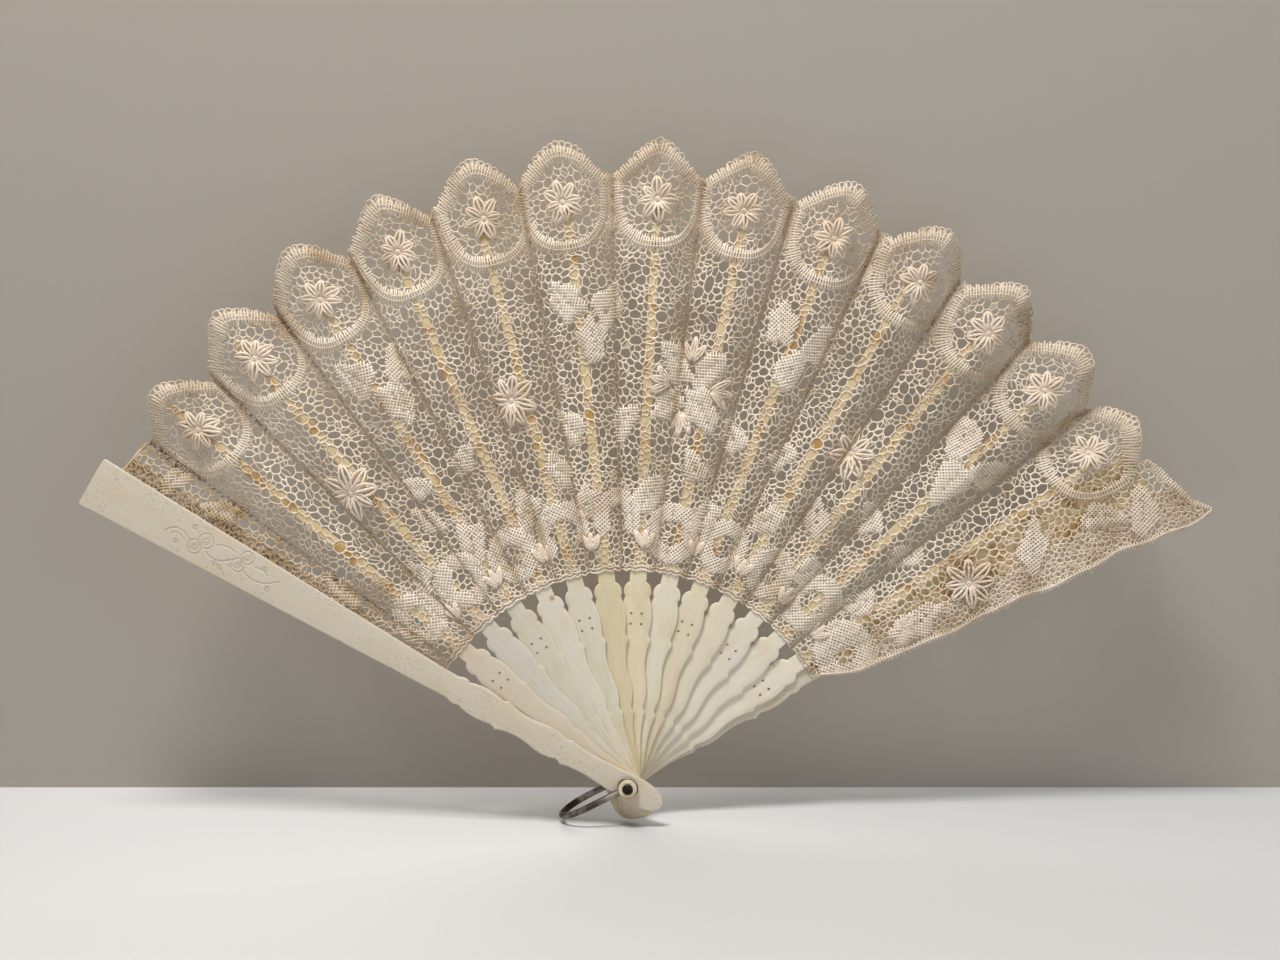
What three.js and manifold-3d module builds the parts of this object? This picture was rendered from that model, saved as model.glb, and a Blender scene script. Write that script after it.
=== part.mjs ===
// Lace folding fan, open: carved bone sticks and guards on one rivet, a pleated lace leaf and a wire loop.
// Millimetres, +Z up. The fan stands upright in the XZ plane with its front facing -Y.
// The origin is on the rivet axis, halfway through the stack of sticks.

import * as THREE from 'three';
import { mergeVertices } from 'three/addons/utils/BufferGeometryUtils.js';
import Module from 'manifold-3d';

const wasm = await Module();
wasm.setup();

// The spread of the open fan, in degrees up from +X, seen from the front
const STICK_COUNT = 13;
const STICK_PITCH = 8.87;
const FIRST_STICK = 140.3;
const FRONT_GUARD_ANGLE = 150.3;
const REAR_GUARD_ANGLE = 30.5;
const FIRST_FOLD_ANGLE = 145;
const LOOP_ANGLE = 206.5;

// The stack along the rivet, front to back
const SLOT = 1.3;               // depth that one stick takes
const GORGE_THICK = 1.15;       // carved lower part of a stick
const SLIP_THICK = 0.5;         // thin upper part of a stick
const LEAF_THICK = 0.25;
const LEAF_OFFSET = 0.475;      // from a slip's middle to the middle of the leaf before or behind it
const GUARD_GAP = 0.15;
const GUARD_GORGE_THICK = 2.3;
const PLATE_LIFT = 0.8;         // room between the stack and a guard's plate for the leaf's end
const PLATE_THICK = 1.5;
const FIT_GAP = 0.3;

// The rivet and what is on it
const SHAFT_RADIUS = 1.3;
const HOLE_RADIUS = 1.6;
const PIN_HEAD_RADIUS = 1.9;
const PIN_HEAD_RISE = 1.1;
const PIN_TAIL_RADIUS = 1.8;
const PIN_TAIL_RISE = 0.8;
const WASHER_RADIUS = 3.25;
const WASHER_THICK = 1.2;
const LOOP_EYE_RADIUS = 3.7;
const LOOP_EYE_THICK = 1.2;
const LOOP_WIRE_WIDTH = 2.4;
const LOOP_WIRE_THICK = 1.5;
const LOOP_LEG = 15.2;          // straight part of a leg, from the rivet axis to the bend

// Outline of a stick: half-widths at distances out from the rivet
const FRONT_HEAD = 13.8;        // reach of the heads beyond the rivet
const STICK_HEAD = 13.4;
const REAR_HEAD = 9.5;
const SHORTER_FROM = 10.5;      // sticks before it get shorter heads, down to the rear ones
const SHORTER_BY = 1.1;
const HEAD_EDGE = [             // shares of the reach, and half-widths
  { via: [1, 2.5], to: [0.76, 3.8] },
  { via: [0.47, 5.5], to: [0, 4.7] },
];
const GORGE_EDGE = [
  { via: [8, 4.2], to: [15, 3.85] },          // neck
  { via: [21.5, 3.75], to: [25.4, 4.9] },     // flare up to the first cusp
  { via: [26, 4.1], to: [27.7, 4] },          // first scoop
  { via: [31.5, 5.9], to: [38.5, 4.35] },     // swell above it
  { via: [46.5, 3.2], to: [51.7, 5.75] },     // waist, and flare up to the second cusp
  { via: [52.4, 4.9], to: [54.1, 4.75] },     // second scoop
  { via: [61.3, 6.6], to: [67.3, 4.4] },      // belly
  { via: [68.2, 5.25], to: [69.9, 4.95] },    // lobe under the leaf
  { via: [71.9, 4.6], to: [72.5, 3.05] },     // shoulder of the lobe
];
const TAB_HALF = 3.05;
const TAB_END = 79;
const SLIP_START = 70;          // root of the slip, sunk in the gorge
const SLIP_HALF = 2;
const SLIP_TIP_HALF = 1.5;
const SLIP_END = 213;
const PLATE_START = 73.5;
const PLATE_START_HALF = 4.3;
const PLATE_END = 220;
const PLATE_END_HALF = 9.35;
const PLATE_CHAMFER = 0.5;
const PLATE_CORNER = 0.8;

// Four small holes pierced through the belly of every other stick
const PIERCE_RADIUS = 0.5;
const PIERCE_AT = 59.2;
const PIERCE_HALF_SPACING = 1.9;

// Lace leaf
const LEAF_INNER = 76.8;
const NOTCH_RADIUS = 221.5;       // between two scallops
const SCALLOP_RISE = 12;
const LEAF_LAP = 0.05;          // degrees that neighbouring pieces of the leaf pass each other
const PANEL_HALF = STICK_PITCH / 4 + LEAF_LAP;
const FIRST_FOLD_HALF = 2.55;
const FIRST_FOLD_FALL = 2;      // millimetres that its edge falls for each degree towards the guard
const FRONT_END_SPAN = [-2.9, 1.5];
const REAR_END_SPAN = [-6.1, 2.2];
const END_RADIUS = 214;
const REAR_CORNER_RADIUS = 238.5;

// Larger gaps of the lace net, one row up each piece of the leaf
const NET_GAPS = 10;
const NET_FIRST = 90;
const NET_LAST = 204;
const NET_GAP_LENGTH = 7.6;
const NET_GAP_SHARE = 0.56;     // of the piece's width

const CURVE_STEPS = 3;
const INNER_STEPS = 2;
const OUTER_STEPS = 6;
const LATHE_SIDES = 20;
const HOLE_SIDES = 12;
const PIERCE_SIDES = 6;
const LOOP_STEPS = 30;
const MERGE_TOLERANCE = 1e-5;

const BONE_TINTS = [0xe9dfc6, 0xe2e0d4, 0xe3e2cf, 0xe6d9b8, 0xe4e3d2, 0xe8dcb4, 0xeadfba, 0xecebe2];
const LACE_TINT = 0xd8c2a2;
const WIRE_TINT = 0x5d564b;
const PIN_TINT = 0x1d1b1a;

const toRadians = THREE.MathUtils.degToRad;
const stackHalf = STICK_COUNT * SLOT / 2;
const guardBase = stackHalf + GUARD_GAP;
const gorgeFace = guardBase + GUARD_GORGE_THICK;
const loopHalf = gorgeFace + FIT_GAP + LOOP_WIRE_THICK / 2;
const washerBase = loopHalf + LOOP_WIRE_THICK / 2 + FIT_GAP;
const pinHeadBase = washerBase + WASHER_THICK + FIT_GAP / 2;

const bone = (tint) => new THREE.MeshStandardMaterial({ color: tint, roughness: 0.42, metalness: 0 });
const lace = () => new THREE.MeshStandardMaterial({ color: LACE_TINT, roughness: 0.9, metalness: 0 });
const metal = (tint) => new THREE.MeshStandardMaterial({ color: tint, roughness: 0.38, metalness: 0.9 });

// Boolean joins and cuts work on solids with merged corners
function solidFrom(geometry) {
  const bare = geometry.clone();
  bare.deleteAttribute('normal');
  bare.deleteAttribute('uv');
  const merged = mergeVertices(bare, MERGE_TOLERANCE);
  return new wasm.Manifold(new wasm.Mesh({
    numProp: 3,
    vertProperties: new Float32Array(merged.attributes.position.array),
    triVerts: new Uint32Array(merged.index.array),
  }));
}

function geometryFrom(solid) {
  const { numProp, vertProperties, triVerts } = solid.getMesh();
  const geometry = new THREE.BufferGeometry();
  geometry.setAttribute('position', new THREE.BufferAttribute(vertProperties, numProp));
  geometry.setIndex(new THREE.BufferAttribute(triVerts, 1));
  const faceted = geometry.toNonIndexed();
  faceted.computeVertexNormals();
  return faceted;
}

// A cutter through the thickness of a flat piece
function drill(x, y, radius, sides) {
  const cutter = new THREE.CylinderGeometry(radius, radius, 4 * stackHalf, sides);
  return solidFrom(cutter.rotateX(Math.PI / 2).translate(x, y, 0));
}

const rivetHole = () => drill(0, 0, HOLE_RADIUS, HOLE_SIDES);

// A flat outline, the same on both sides of its long axis, from one edge that starts on that axis
function mirroredShape(edge) {
  const upper = edge.getPoints(CURVE_STEPS);
  const lower = upper.slice(1).map((point) => new THREE.Vector2(point.x, -point.y));
  return new THREE.Shape([...lower.reverse(), ...upper]);
}

function gorgeShape(headReach, tabHalf, tabEnd) {
  const edge = new THREE.Path();
  edge.moveTo(-headReach, 0);
  for (const { via, to } of HEAD_EDGE) {
    edge.quadraticCurveTo(-headReach * via[0], via[1], -headReach * to[0], to[1]);
  }
  for (const { via, to } of GORGE_EDGE) {
    edge.quadraticCurveTo(...via, ...to);
  }
  edge.lineTo(GORGE_EDGE.at(-1).to[0], tabHalf);
  edge.lineTo(tabEnd, tabHalf);
  return mirroredShape(edge);
}

function slipShape() {
  const edge = new THREE.Path();
  edge.moveTo(SLIP_START, 0);
  edge.lineTo(SLIP_START, TAB_HALF);
  edge.lineTo(TAB_END, TAB_HALF);
  edge.lineTo(TAB_END + TAB_HALF - SLIP_HALF, SLIP_HALF);
  edge.lineTo(SLIP_END - SLIP_TIP_HALF, SLIP_TIP_HALF);
  edge.quadraticCurveTo(SLIP_END, SLIP_TIP_HALF, SLIP_END, SLIP_TIP_HALF / 3);
  return mirroredShape(edge);
}

function plateShape() {
  const edge = new THREE.Path();
  edge.moveTo(PLATE_START, 0);
  edge.lineTo(PLATE_START, PLATE_START_HALF);
  edge.lineTo(PLATE_END - PLATE_CORNER, PLATE_END_HALF);
  edge.quadraticCurveTo(PLATE_END, PLATE_END_HALF, PLATE_END, PLATE_END_HALF - PLATE_CORNER);
  return mirroredShape(edge);
}

const slab = (shape, depth) => new THREE.ExtrudeGeometry(shape, { depth, bevelEnabled: false });

// Carved gorge and thin slip in one piece, centred on the stick's own slot
function stickGeometry(headReach, pierced) {
  const tabRoot = GORGE_EDGE.at(-1).to[0];
  const gorge = solidFrom(slab(gorgeShape(headReach, TAB_HALF, tabRoot + FIT_GAP), GORGE_THICK)
    .translate(0, 0, -GORGE_THICK / 2));
  const slip = solidFrom(slab(slipShape(), SLIP_THICK).translate(0, 0, -SLIP_THICK / 2));
  let stick = gorge.add(slip).subtract(rivetHole());
  if (pierced) {
    for (const across of [-PIERCE_HALF_SPACING, PIERCE_HALF_SPACING]) {
      for (const along of [-PIERCE_HALF_SPACING, PIERCE_HALF_SPACING]) {
        stick = stick.subtract(drill(PIERCE_AT + along, across, PIERCE_RADIUS, PIERCE_SIDES));
      }
    }
  }
  return geometryFrom(stick);
}

// A guard: the same gorge, thicker, and a wide chamfered plate lifted off the stack for the leaf's end
function guardGeometry(headReach) {
  const outline = gorgeShape(headReach, PLATE_START_HALF, LEAF_INNER - FIT_GAP);
  const gorge = solidFrom(slab(outline, GUARD_GORGE_THICK));
  const plate = solidFrom(new THREE.ExtrudeGeometry(plateShape(), {
    depth: PLATE_THICK - 2 * PLATE_CHAMFER,
    bevelThickness: PLATE_CHAMFER,
    bevelSize: PLATE_CHAMFER,
    bevelOffset: -PLATE_CHAMFER,
    bevelSegments: 1,
  }).translate(0, 0, PLATE_LIFT + PLATE_CHAMFER));
  return geometryFrom(gorge.add(plate).subtract(rivetHole()));
}

const polar = (radius, degrees) => new THREE.Vector2(
  radius * Math.cos(toRadians(degrees)),
  radius * Math.sin(toRadians(degrees)),
);

// Outer edge of the leaf at an angle from the middle of a scallop
function scallopRadius(degrees) {
  const across = 2 * degrees / STICK_PITCH;
  return NOTCH_RADIUS + SCALLOP_RISE * (1 - across * across);
}

const panelEdge = (degrees) => scallopRadius(degrees);
const foldEdge = (degrees) => scallopRadius(STICK_PITCH / 2 - Math.abs(degrees));
const firstFoldEdge = (degrees) => (
  degrees < 0 ? foldEdge(degrees) : NOTCH_RADIUS - FIRST_FOLD_FALL * degrees
);
const frontEndEdge = () => END_RADIUS;
const rearEndEdge = (degrees) => THREE.MathUtils.mapLinear(
  degrees, ...REAR_END_SPAN, REAR_CORNER_RADIUS, NOTCH_RADIUS,
);

// A six-sided gap of the net, long in the direction of the stick
function netGap(radius, middle, half) {
  const tip = NET_GAP_LENGTH / 2;
  const side = tip / 2;
  return new THREE.Path([
    polar(radius - tip, middle),
    polar(radius - side, middle - half),
    polar(radius + side, middle - half),
    polar(radius + tip, middle),
    polar(radius + side, middle + half),
    polar(radius - side, middle + half),
  ]);
}

function leafGeometry(from, to, edge, gapShift) {
  const points = [];
  for (let step = 0; step <= INNER_STEPS; step++) {
    points.push(polar(LEAF_INNER, THREE.MathUtils.lerp(from, to, step / INNER_STEPS)));
  }
  for (let step = OUTER_STEPS; step >= 0; step--) {
    const degrees = THREE.MathUtils.lerp(from, to, step / OUTER_STEPS);
    points.push(polar(edge(degrees), degrees));
  }
  const shape = new THREE.Shape(points);
  const rowPitch = (NET_LAST - NET_FIRST) / (NET_GAPS - 1);
  const half = (to - from) * NET_GAP_SHARE / 2;
  for (let row = 0; row < NET_GAPS; row++) {
    shape.holes.push(netGap(NET_FIRST + (row + gapShift) * rowPitch, (from + to) / 2, half));
  }
  return slab(shape, LEAF_THICK).translate(0, 0, -LEAF_THICK / 2);
}

// The middle line of the loop: the front leg, half of a circle to the back, and the rear leg
class LoopPath extends THREE.Curve {
  getPoint(share, target = new THREE.Vector3()) {
    const eye = LOOP_EYE_RADIUS - LOOP_WIRE_THICK;
    const leg = LOOP_LEG - eye;
    const bend = Math.PI * loopHalf;
    const along = share * (2 * leg + bend);
    if (along < leg) {
      return target.set(eye + along, 0, loopHalf);
    }
    if (along > leg + bend) {
      return target.set(LOOP_LEG - (along - leg - bend), 0, -loopHalf);
    }
    const turn = (along - leg) / loopHalf;
    return target.set(LOOP_LEG + loopHalf * Math.sin(turn), 0, loopHalf * Math.cos(turn));
  }
}

// Half-round wire, flat on the inside of the loop
function wireShape() {
  const half = LOOP_WIRE_WIDTH / 2;
  const inner = LOOP_WIRE_THICK / 2;
  const shape = new THREE.Shape();
  shape.moveTo(inner, -half);
  shape.lineTo(inner, half);
  shape.absellipse(inner, 0, LOOP_WIRE_THICK, half, Math.PI / 2, 1.5 * Math.PI);
  return shape;
}

function loopGeometry() {
  const wire = solidFrom(new THREE.ExtrudeGeometry(wireShape(), {
    steps: LOOP_STEPS,
    extrudePath: new LoopPath(),
    curveSegments: CURVE_STEPS,
  }));
  const eye = () => new THREE.CylinderGeometry(LOOP_EYE_RADIUS, LOOP_EYE_RADIUS, LOOP_EYE_THICK, LATHE_SIDES)
    .rotateX(Math.PI / 2);
  return geometryFrom(wire
    .add(solidFrom(eye().translate(0, 0, loopHalf)))
    .add(solidFrom(eye().translate(0, 0, -loopHalf)))
    .subtract(rivetHole()));
}

// A turned piece about the rivet axis, from points of radius and height
function turned(profile) {
  const points = profile.map(([radius, height]) => new THREE.Vector2(radius, height));
  return new THREE.LatheGeometry(points, LATHE_SIDES).rotateX(Math.PI / 2);
}

// A quarter of an ellipse from the rim of a dome up to the axis
function domeProfile(radius, base, rise) {
  const points = [];
  for (let step = 0; step <= CURVE_STEPS; step++) {
    const turn = step / CURVE_STEPS * Math.PI / 2;
    points.push([step === CURVE_STEPS ? 0 : radius * Math.cos(turn), base + rise * Math.sin(turn)]);
  }
  return points;
}

// Shaft with a domed head in front and a lower clenched dome behind
function pinGeometry() {
  return turned([
    ...domeProfile(PIN_TAIL_RADIUS, -pinHeadBase, -PIN_TAIL_RISE).reverse(),
    [SHAFT_RADIUS, -pinHeadBase],
    [SHAFT_RADIUS, pinHeadBase],
    ...domeProfile(PIN_HEAD_RADIUS, pinHeadBase, PIN_HEAD_RISE),
  ]);
}

// A ring with its outer rim eased
function washerGeometry() {
  const half = WASHER_THICK / 2;
  const ease = WASHER_THICK / 4;
  return turned([
    [HOLE_RADIUS, -half],
    [WASHER_RADIUS - ease, -half],
    [WASHER_RADIUS, -half + ease],
    [WASHER_RADIUS, half - ease],
    [WASHER_RADIUS - ease, half],
    [HOLE_RADIUS, half],
    [HOLE_RADIUS, -half],
  ]);
}

// The fan is laid out flat with its front facing +Z, and its group then stands it upright
const layout = new THREE.Group();
layout.rotation.x = Math.PI / 2;

function place(name, geometry, material, degrees, depth) {
  const mesh = new THREE.Mesh(geometry, material);
  mesh.name = name;
  mesh.rotation.z = toRadians(degrees);
  mesh.position.z = depth;
  layout.add(mesh);
  return mesh;
}

const numbered = (name, number) => `${name}_${String(number).padStart(2, '0')}`;
const stickAngle = (number) => FIRST_STICK - STICK_PITCH * (number - 1);
const slotDepth = (number) => ((STICK_COUNT + 1) / 2 - number) * SLOT;
const stickHead = (number) => Math.min(
  STICK_HEAD, REAR_HEAD + SHORTER_BY * Math.max(0, SHORTER_FROM - number),
);
const boneTint = (number) => BONE_TINTS[number % BONE_TINTS.length];

place('front_guard', guardGeometry(FRONT_HEAD), bone(BONE_TINTS[0]), FRONT_GUARD_ANGLE, guardBase);
const rearGuard = place('rear_guard', guardGeometry(REAR_HEAD), bone(BONE_TINTS[0]),
  -REAR_GUARD_ANGLE, -guardBase);
rearGuard.rotation.x = Math.PI;   // turned over, so that its plate faces the back

for (let number = 1; number <= STICK_COUNT; number++) {
  const depth = slotDepth(number);
  place(numbered('stick', number), stickGeometry(stickHead(number), number % 2 === 1),
    bone(boneTint(number)), stickAngle(number), depth);
  place(numbered('leaf_panel', number), leafGeometry(-PANEL_HALF, PANEL_HALF, panelEdge, 0), lace(),
    stickAngle(number), depth + LEAF_OFFSET);
}

// Each fold lies behind the stick on its left, the first one behind the front guard's plate
place(numbered('leaf_fold', 1), leafGeometry(-FIRST_FOLD_HALF, FIRST_FOLD_HALF, firstFoldEdge, -0.5), lace(),
  FIRST_FOLD_ANGLE, slotDepth(0) - LEAF_OFFSET);
for (let number = 1; number < STICK_COUNT; number++) {
  place(numbered('leaf_fold', number + 1), leafGeometry(-PANEL_HALF, PANEL_HALF, foldEdge, -0.5), lace(),
    stickAngle(number + 0.5), slotDepth(number) - LEAF_OFFSET);
}
place(numbered('leaf_fold', STICK_COUNT + 1), leafGeometry(-PANEL_HALF, PANEL_HALF, foldEdge, -0.5), lace(),
  (stickAngle(STICK_COUNT) + REAR_GUARD_ANGLE) / 2, slotDepth(STICK_COUNT) - LEAF_OFFSET);

const endDepth = guardBase + PLATE_LIFT - FIT_GAP / 2 - LEAF_THICK / 2;
place('leaf_end_front', leafGeometry(...FRONT_END_SPAN, frontEndEdge, 0), lace(),
  FRONT_GUARD_ANGLE, endDepth);
place('leaf_end_rear', leafGeometry(...REAR_END_SPAN, rearEndEdge, 0), lace(), REAR_GUARD_ANGLE, -endDepth);

place('loop', loopGeometry(), metal(WIRE_TINT), LOOP_ANGLE, 0);
place('rivet_pin', pinGeometry(), metal(PIN_TINT), 0, 0);
place('front_washer', washerGeometry(), bone(BONE_TINTS[0]), 0, washerBase + WASHER_THICK / 2);
place('rear_washer', washerGeometry(), bone(BONE_TINTS[0]), 0, -washerBase - WASHER_THICK / 2);

const fan = new THREE.Group();
fan.add(layout);

export default fan;
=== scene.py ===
import math
import random

import bpy
import numpy as np
from mathutils import Matrix, Vector, kdtree
from mathutils.geometry import delaunay_2d_cdt


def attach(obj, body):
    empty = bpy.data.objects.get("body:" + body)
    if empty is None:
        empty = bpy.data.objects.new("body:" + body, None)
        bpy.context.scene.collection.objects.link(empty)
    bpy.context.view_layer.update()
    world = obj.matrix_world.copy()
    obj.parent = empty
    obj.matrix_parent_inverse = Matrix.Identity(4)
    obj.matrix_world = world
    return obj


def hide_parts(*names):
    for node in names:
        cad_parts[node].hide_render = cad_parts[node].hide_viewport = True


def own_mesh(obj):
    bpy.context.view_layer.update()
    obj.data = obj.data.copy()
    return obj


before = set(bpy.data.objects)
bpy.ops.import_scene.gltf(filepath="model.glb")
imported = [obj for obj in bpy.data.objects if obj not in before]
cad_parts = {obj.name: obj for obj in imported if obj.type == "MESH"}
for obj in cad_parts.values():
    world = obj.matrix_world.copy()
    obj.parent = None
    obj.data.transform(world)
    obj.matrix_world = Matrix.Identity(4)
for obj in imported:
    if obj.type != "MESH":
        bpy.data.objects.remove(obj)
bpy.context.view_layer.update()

mm = 0.001

# the open fan: millimetres, and degrees up from +X seen from the front
fan = {
    "stickCount": 13,
    "pitch": 8.87,
    "firstStick": 140.3,
    "frontGuard": 150.3,
    "rearGuard": 30.5,
    "loopAngle": 206.5,
    "slot": 1.3,            # one stick's share of the stack
    "guardBase": 8.6,       # from the middle of the stack to a guard
}


def stickAngle(index):
    return fan["firstStick"] - fan["pitch"] * index


def stickDepth(index):
    return ((fan["stickCount"] - 1) / 2 - index) * fan["slot"]


def numbered(name, number):
    return f"{name}_{number:02d}"


# camera, floor, wall and lamps, in metres
studio = {
    "cameraPlace": (0.0044, -0.527, 0.10945),
    "lens": 40.8,
    "clipStart": 0.01,
    "floorLevel": -0.0145,
    "wallFoot": 0.058,          # how far back the wall is at the floor, and near the leaf's top
    "wallTop": 0.0145,
    "wallTopHeight": 0.225,
    "reach": 2.0,
    "floorTone": (0.60, 0.605, 0.615),
    "floorRough": 0.55,
    "wallTone": (0.43, 0.395, 0.35),
    "wallRough": 0.8,
    "paintSpecular": 0.2,
    "worldTone": (0.80, 0.83, 0.87),
    "ambient": 0.13,
    "lamps": [                  # name, place, aim, size, power, tone
        ("keyLamp", (-0.2, -0.46, 1.08), (0, 0, 0.11), 0.3, 12.4, (1.0, 0.97, 0.93)),
        ("fillLamp", (0.75, -0.8, 0.35), (0, 0, 0.1), 0.8, 2.2, (0.93, 0.97, 1.0)),
        ("backLamp", (-0.2, 0.9, 0.6), (0, 0, 0.1), 0.7, 4.0, (1.0, 0.98, 0.95)),
    ],
}


# shared steps for materials
def shaderTree(name):
    material = bpy.data.materials.new(name)
    material.use_nodes = True
    tree = material.node_tree
    return material, tree, tree.nodes["Principled BSDF"]


def noise(tree, vector, scale, detail):
    texture = tree.nodes.new("ShaderNodeTexNoise")
    texture.inputs["Scale"].default_value = scale
    texture.inputs["Detail"].default_value = detail
    tree.links.new(vector, texture.inputs["Vector"])
    return texture.outputs["Fac"]


def eased(tree, value, low, high):
    # 0 at low and 1 at high, with a smooth step between
    step = tree.nodes.new("ShaderNodeMapRange")
    step.interpolation_type = "SMOOTHSTEP"
    step.inputs["From Min"].default_value = low
    step.inputs["From Max"].default_value = high
    tree.links.new(value, step.inputs["Value"])
    return step.outputs[0]


def spread(tree, value, low, high):
    # 0 to 1 becomes low to high
    step = tree.nodes.new("ShaderNodeMapRange")
    step.inputs["To Min"].default_value = low
    step.inputs["To Max"].default_value = high
    tree.links.new(value, step.inputs["Value"])
    return step.outputs[0]


def combine(tree, operation, first, second, clamp=False):
    step = tree.nodes.new("ShaderNodeMath")
    step.operation = operation
    step.use_clamp = clamp
    tree.links.new(first, step.inputs[0])
    if isinstance(second, float):
        step.inputs[1].default_value = second
    else:
        tree.links.new(second, step.inputs[1])
    return step.outputs[0]


def blend(tree, factor, under, over):
    mix = tree.nodes.new("ShaderNodeMix")
    mix.data_type = "RGBA"
    tree.links.new(factor, mix.inputs["Factor"])
    if isinstance(under, tuple):
        mix.inputs["A"].default_value = (*under, 1)
    else:
        tree.links.new(under, mix.inputs["A"])
    mix.inputs["B"].default_value = (*over, 1)
    return mix.outputs["Result"]


def attributeValue(tree, name):
    attribute = tree.nodes.new("ShaderNodeAttribute")
    attribute.attribute_name = name
    return attribute.outputs["Fac"]


def objectPlace(tree):
    return tree.nodes.new("ShaderNodeTexCoord").outputs["Object"]


def addBump(tree, surface, height, strength, distance):
    bump = tree.nodes.new("ShaderNodeBump")
    bump.inputs["Strength"].default_value = strength
    bump.inputs["Distance"].default_value = distance
    tree.links.new(height, bump.inputs["Height"])
    tree.links.new(bump.outputs[0], surface.inputs["Normal"])


# stage
def stageMaterial(name, tone, roughness):
    material, tree, surface = shaderTree(name)
    surface.inputs["Base Color"].default_value = (*tone, 1)
    surface.inputs["Roughness"].default_value = roughness
    surface.inputs["Specular IOR Level"].default_value = studio["paintSpecular"]
    side = tree.nodes.new("ShaderNodeNewGeometry")
    clear = tree.nodes.new("ShaderNodeBsdfTransparent")
    mix = tree.nodes.new("ShaderNodeMixShader")
    tree.links.new(side.outputs["Backfacing"], mix.inputs["Fac"])    # seen through from behind
    tree.links.new(surface.outputs[0], mix.inputs[1])
    tree.links.new(clear.outputs[0], mix.inputs[2])
    tree.links.new(mix.outputs[0], tree.nodes["Material Output"].inputs["Surface"])
    return material


def stagePlane(name, place, turn, tone, roughness):
    bpy.ops.mesh.primitive_plane_add(size=2 * studio["reach"], location=place, rotation=turn)
    plane = bpy.context.object
    plane.name = name
    plane.data.materials.append(stageMaterial(name + "Paint", tone, roughness))
    return plane


def setFloorAndWall():
    foot, level, reach = studio["wallFoot"], studio["floorLevel"], studio["reach"]
    floor = stagePlane("floor", (0, 0, level), (0, 0, 0), studio["floorTone"], studio["floorRough"])
    lean = math.atan2(foot - studio["wallTop"], studio["wallTopHeight"] - level)
    middle = (0, foot - reach * math.sin(lean), level + reach * math.cos(lean))
    upright = (math.radians(90) + lean, 0, 0)
    wall = stagePlane("wall", middle, upright, studio["wallTone"], studio["wallRough"])
    wall.visible_shadow = False


def setCamera():
    bpy.ops.object.camera_add(location=studio["cameraPlace"], rotation=(math.radians(90), 0, 0))
    camera = bpy.context.object
    camera.data.lens = studio["lens"]
    camera.data.clip_start = studio["clipStart"]
    bpy.context.scene.camera = camera


def addLamp(name, place, target, size, power, tone):
    bpy.ops.object.light_add(type="AREA", location=place)
    lamp = bpy.context.object
    lamp.name = name
    lamp.rotation_euler = (Vector(target) - Vector(place)).to_track_quat("-Z", "Y").to_euler()
    lamp.data.size = size
    lamp.data.energy = power
    lamp.data.color = tone


def setWorld():
    # plain light all round, and a full tone where it is seen or mirrored
    world = bpy.data.worlds.new("studioAir")
    bpy.context.scene.world = world
    world.use_nodes = True
    tree = world.node_tree
    air = tree.nodes["Background"]
    air.inputs["Color"].default_value = (*studio["worldTone"], 1)
    path = tree.nodes.new("ShaderNodeLightPath")
    seen = combine(tree, "MAXIMUM", path.outputs["Is Camera Ray"], path.outputs["Is Glossy Ray"])
    tree.links.new(spread(tree, seen, studio["ambient"], 1.0), air.inputs["Strength"])


def setStage():
    bpy.context.scene.view_settings.view_transform = "Standard"
    bpy.ops.object.select_all(action="DESELECT")
    setCamera()
    setFloorAndWall()
    for lamp in studio["lamps"]:
        addLamp(*lamp)
    setWorld()
    print("stage: camera, floor, wall and lamps set")


# shared steps for modelling
def activate(piece):
    bpy.ops.object.select_all(action="DESELECT")
    piece.select_set(True)
    bpy.context.view_layer.objects.active = piece


def stand(angle, depth):
    # a flat piece (x out from the rivet, y across, z to the front) to its place in the upright fan
    turn = math.radians(angle)
    cosine = math.cos(turn) * mm
    sine = math.sin(turn) * mm
    return Matrix((
        (cosine, -sine, 0, 0),
        (0, 0, -mm, -depth * mm),
        (sine, cosine, 0, 0),
        (0, 0, 0, 1),
    ))


def joinSolid(piece, other, operation):
    activate(piece)
    bpy.ops.object.modifier_add(type="BOOLEAN")
    step = piece.modifiers[-1]
    step.object = other
    step.operation = operation
    step.solver = "EXACT"
    bpy.ops.object.modifier_apply(modifier=step.name)
    bpy.data.objects.remove(other)


def drillHole(piece, x, y, radius, sides):
    through = 40
    bpy.ops.object.select_all(action="DESELECT")
    bpy.ops.mesh.primitive_cylinder_add(vertices=sides, radius=radius, depth=through, location=(x, y, 0))
    bpy.ops.object.transform_apply(location=True, rotation=True, scale=True)
    joinSolid(piece, bpy.context.object, "DIFFERENCE")


def finishPiece(piece, name, material, node, body, smoothAngle=35):
    piece.name = name
    piece.data.name = name
    piece.data.materials.clear()
    piece.data.materials.append(material)
    activate(piece)
    bpy.ops.object.shade_smooth_by_angle(angle=math.radians(smoothAngle))
    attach(piece, body)
    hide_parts(node)


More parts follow.
